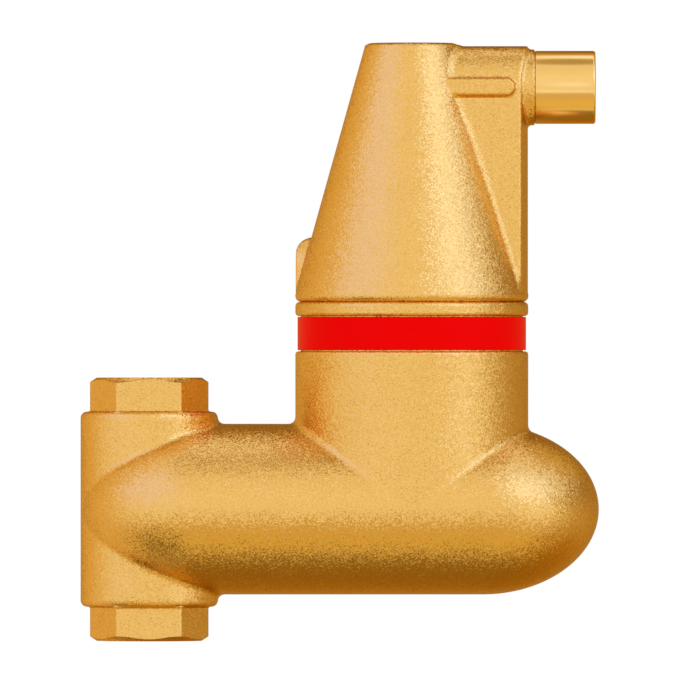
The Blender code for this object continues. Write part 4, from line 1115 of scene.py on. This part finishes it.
# Narrow lights: azimuth, elevation, the way they run, half the width and length in degrees, colour
STRIP_LIGHTS = (
    (0.0, -14.0, (1.0, 0.0, 0.0), 2.0, 62.0, (1.25, 1.33, 1.55)),
    (58.0, 4.0, (0.0, 0.0, 1.0), 2.4, 34.0, (1.60, 1.80, 2.50)),
)

# Round soft lights and dark gaps of the studio: azimuth from the camera's side towards +X,
# elevation, the angles at which each is full and gone, and its colour
STUDIO_LIGHTS = (
    (180.0, -72.0, 14.0, 22.0, (0.31, 0.19, 0.03)),
    (-65.0, -57.0, 11.0, 21.0, (0.18, 0.15, 0.06)),
    (95.0, 36.0, 10.0, 22.0, (0.98, 1.05, 1.30)),
    (-33.0, 12.0, 7.0, 17.0, (1.04, 1.10, 1.40)),
    (-60.0, 36.0, 20.0, 29.0, (0.98, 1.02, 1.85)),
    (0.0, 8.0, 4.0, 10.0, (1.08, 1.20, 1.65)),
    (141.0, 34.0, 8.0, 20.0, (0.74, 0.60, 0.26)),
    (54.0, 35.0, 24.0, 30.0, (1.00, 1.22, 2.20)),
)


def make_world():
    """A plain white surround for the camera, and a soft studio for the light."""
    world = bpy.data.worlds.new("studio")
    bpy.context.scene.world = world
    world.use_nodes = True
    world.node_tree.nodes.clear()
    nodes = Nodes(world.node_tree)
    direction = nodes.out("ShaderNodeTexCoord", {}, {}, "Generated")
    separate = nodes.node("ShaderNodeSeparateXYZ", {}, {"Vector": direction})
    right = Value(nodes, separate.outputs[0])
    back = Value(nodes, separate.outputs[1])
    height = Value(nodes, separate.outputs[2]) * 0.5 + 0.5
    before = nodes.ramp(height, FRONT_SHADES)
    behind = nodes.ramp(height, BACK_SHADES)
    left_behind = nodes.colour((right * -LEFT_STEEPNESS).clamped(), behind, LEFT_SHADE)
    turn_back = ((back + SIDE_BLEND) / (2 * SIDE_BLEND)).clamped()
    surround = nodes.colour(turn_back, before, left_behind)
    for azimuth, elevation, inner, outer, shade in STUDIO_LIGHTS:
        share = soft_box(nodes, direction, facing(azimuth, elevation), inner, outer)
        surround = nodes.colour(share, surround, rgb(*shade))
    for azimuth, elevation, along, half_width, half_length, shade in STRIP_LIGHTS:
        aim = facing(azimuth, elevation)
        share = strip_light(nodes, direction, aim, along, half_width, half_length)
        surround = nodes.colour(share, surround, rgb(*shade))
    surround = nodes.vector("MULTIPLY", surround, STUDIO_WARMTH)
    seen = nodes.out("ShaderNodeLightPath", {}, {}, "Is Camera Ray")
    shown = nodes.colour(seen, surround, rgb(1.0, 1.0, 1.0))
    background = nodes.out("ShaderNodeBackground", {}, {"Color": shown, "Strength": 1.0})
    nodes.node("ShaderNodeOutputWorld", {}, {"Surface": background})


FLOOR_CENTRE = (0.057, 0.0, -0.03)
FLOOR_RADIUS = 0.6
FLOOR_GONE = 0.5
FLOOR_FADE = 0.35
FLOOR_COLOUR = rgb(0.79, 0.86, 1.0)
FLOOR_GLOW = 0.22


def make_floor():
    """A pale round floor under the part, which fades into the white surround."""
    deselect_all()
    bpy.ops.mesh.primitive_circle_add(
        vertices=96, radius=FLOOR_RADIUS, fill_type="NGON", location=FLOOR_CENTRE
    )
    floor = bpy.context.object
    floor.name = "floor"
    apply_place(floor)
    material = bpy.data.materials.new("pale_floor")
    material.use_nodes = True
    material.node_tree.nodes.clear()
    nodes = Nodes(material.node_tree)
    away = nodes.vector("SUBTRACT", nodes.place(), FLOOR_CENTRE)
    reach = nodes.vector("LENGTH", away, output=1)
    fade = ((FLOOR_GONE - reach) / FLOOR_FADE).clamped()
    paper = nodes.out("ShaderNodeBsdfDiffuse", {}, {"Color": FLOOR_COLOUR})
    clear = nodes.out("ShaderNodeBsdfTransparent", {}, {})
    path = nodes.node("ShaderNodeLightPath", {}, {})
    not_glossy = 1.0 - Value(nodes, path.outputs["Is Glossy Ray"])
    lift = Value(nodes, path.outputs["Is Camera Ray"]) * FLOOR_GLOW
    glow = nodes.out("ShaderNodeEmission", {}, {"Color": rgb(1.0, 1.0, 1.0), "Strength": lift})
    paper = nodes.out("ShaderNodeAddShader", {}, {0: paper, 1: glow})
    side = nodes.out("ShaderNodeNewGeometry", {}, {}, "Backfacing")
    share = fade * not_glossy * (1.0 - side)
    mixed = nodes.out("ShaderNodeMixShader", {}, {0: share, 1: clear, 2: paper})
    nodes.node("ShaderNodeOutputMaterial", {}, {"Surface": mixed})
    floor.data.materials.append(material)


CAMERA_PLACE = (0.05697, -6.725, 0.08756)
CAMERA_LENS = 1200.0
CAMERA_SENSOR = 36.0
CAMERA_REACH = 100.0


def make_camera():
    """The photo's straight view, from far away."""
    data = bpy.data.cameras.new("camera")
    data.lens = CAMERA_LENS
    data.sensor_width = CAMERA_SENSOR
    data.clip_end = CAMERA_REACH
    camera = bpy.data.objects.new("camera", data)
    camera.location = CAMERA_PLACE
    camera.rotation_euler = (math.pi / 2, 0.0, 0.0)
    bpy.context.scene.collection.objects.link(camera)
    bpy.context.scene.camera = camera


LAMP_PLACE = Vector((1.355, -1.25, 1.25))
LAMP_AIM = Vector((0.06, 0.0, 0.09))
LAMP_SIZE = 0.9
LAMP_POWER = 1.0


def make_lamp():
    """A square soft lamp that shines at the part from the upper right."""
    data = bpy.data.lights.new("key_lamp", "AREA")
    data.size = LAMP_SIZE
    data.energy = LAMP_POWER
    lamp = bpy.data.objects.new("key_lamp", data)
    lamp.location = LAMP_PLACE
    lamp.rotation_euler = (LAMP_AIM - LAMP_PLACE).to_track_quat("-Z", "Y").to_euler()
    bpy.context.scene.collection.objects.link(lamp)


dress_cad_nodes()
dress(make_body(), "cast_brass", "casing", "body_casting")
dress(make_head(), "cast_brass", "casing", "vent_head")
dress(make_spigot(), "turned_brass", "casing", "vent_spigot")
dress(make_band(), "red_band", "casing", "label_band")

make_world()
make_floor()
make_camera()
make_lamp()
bpy.context.scene.view_settings.view_transform = "Standard"
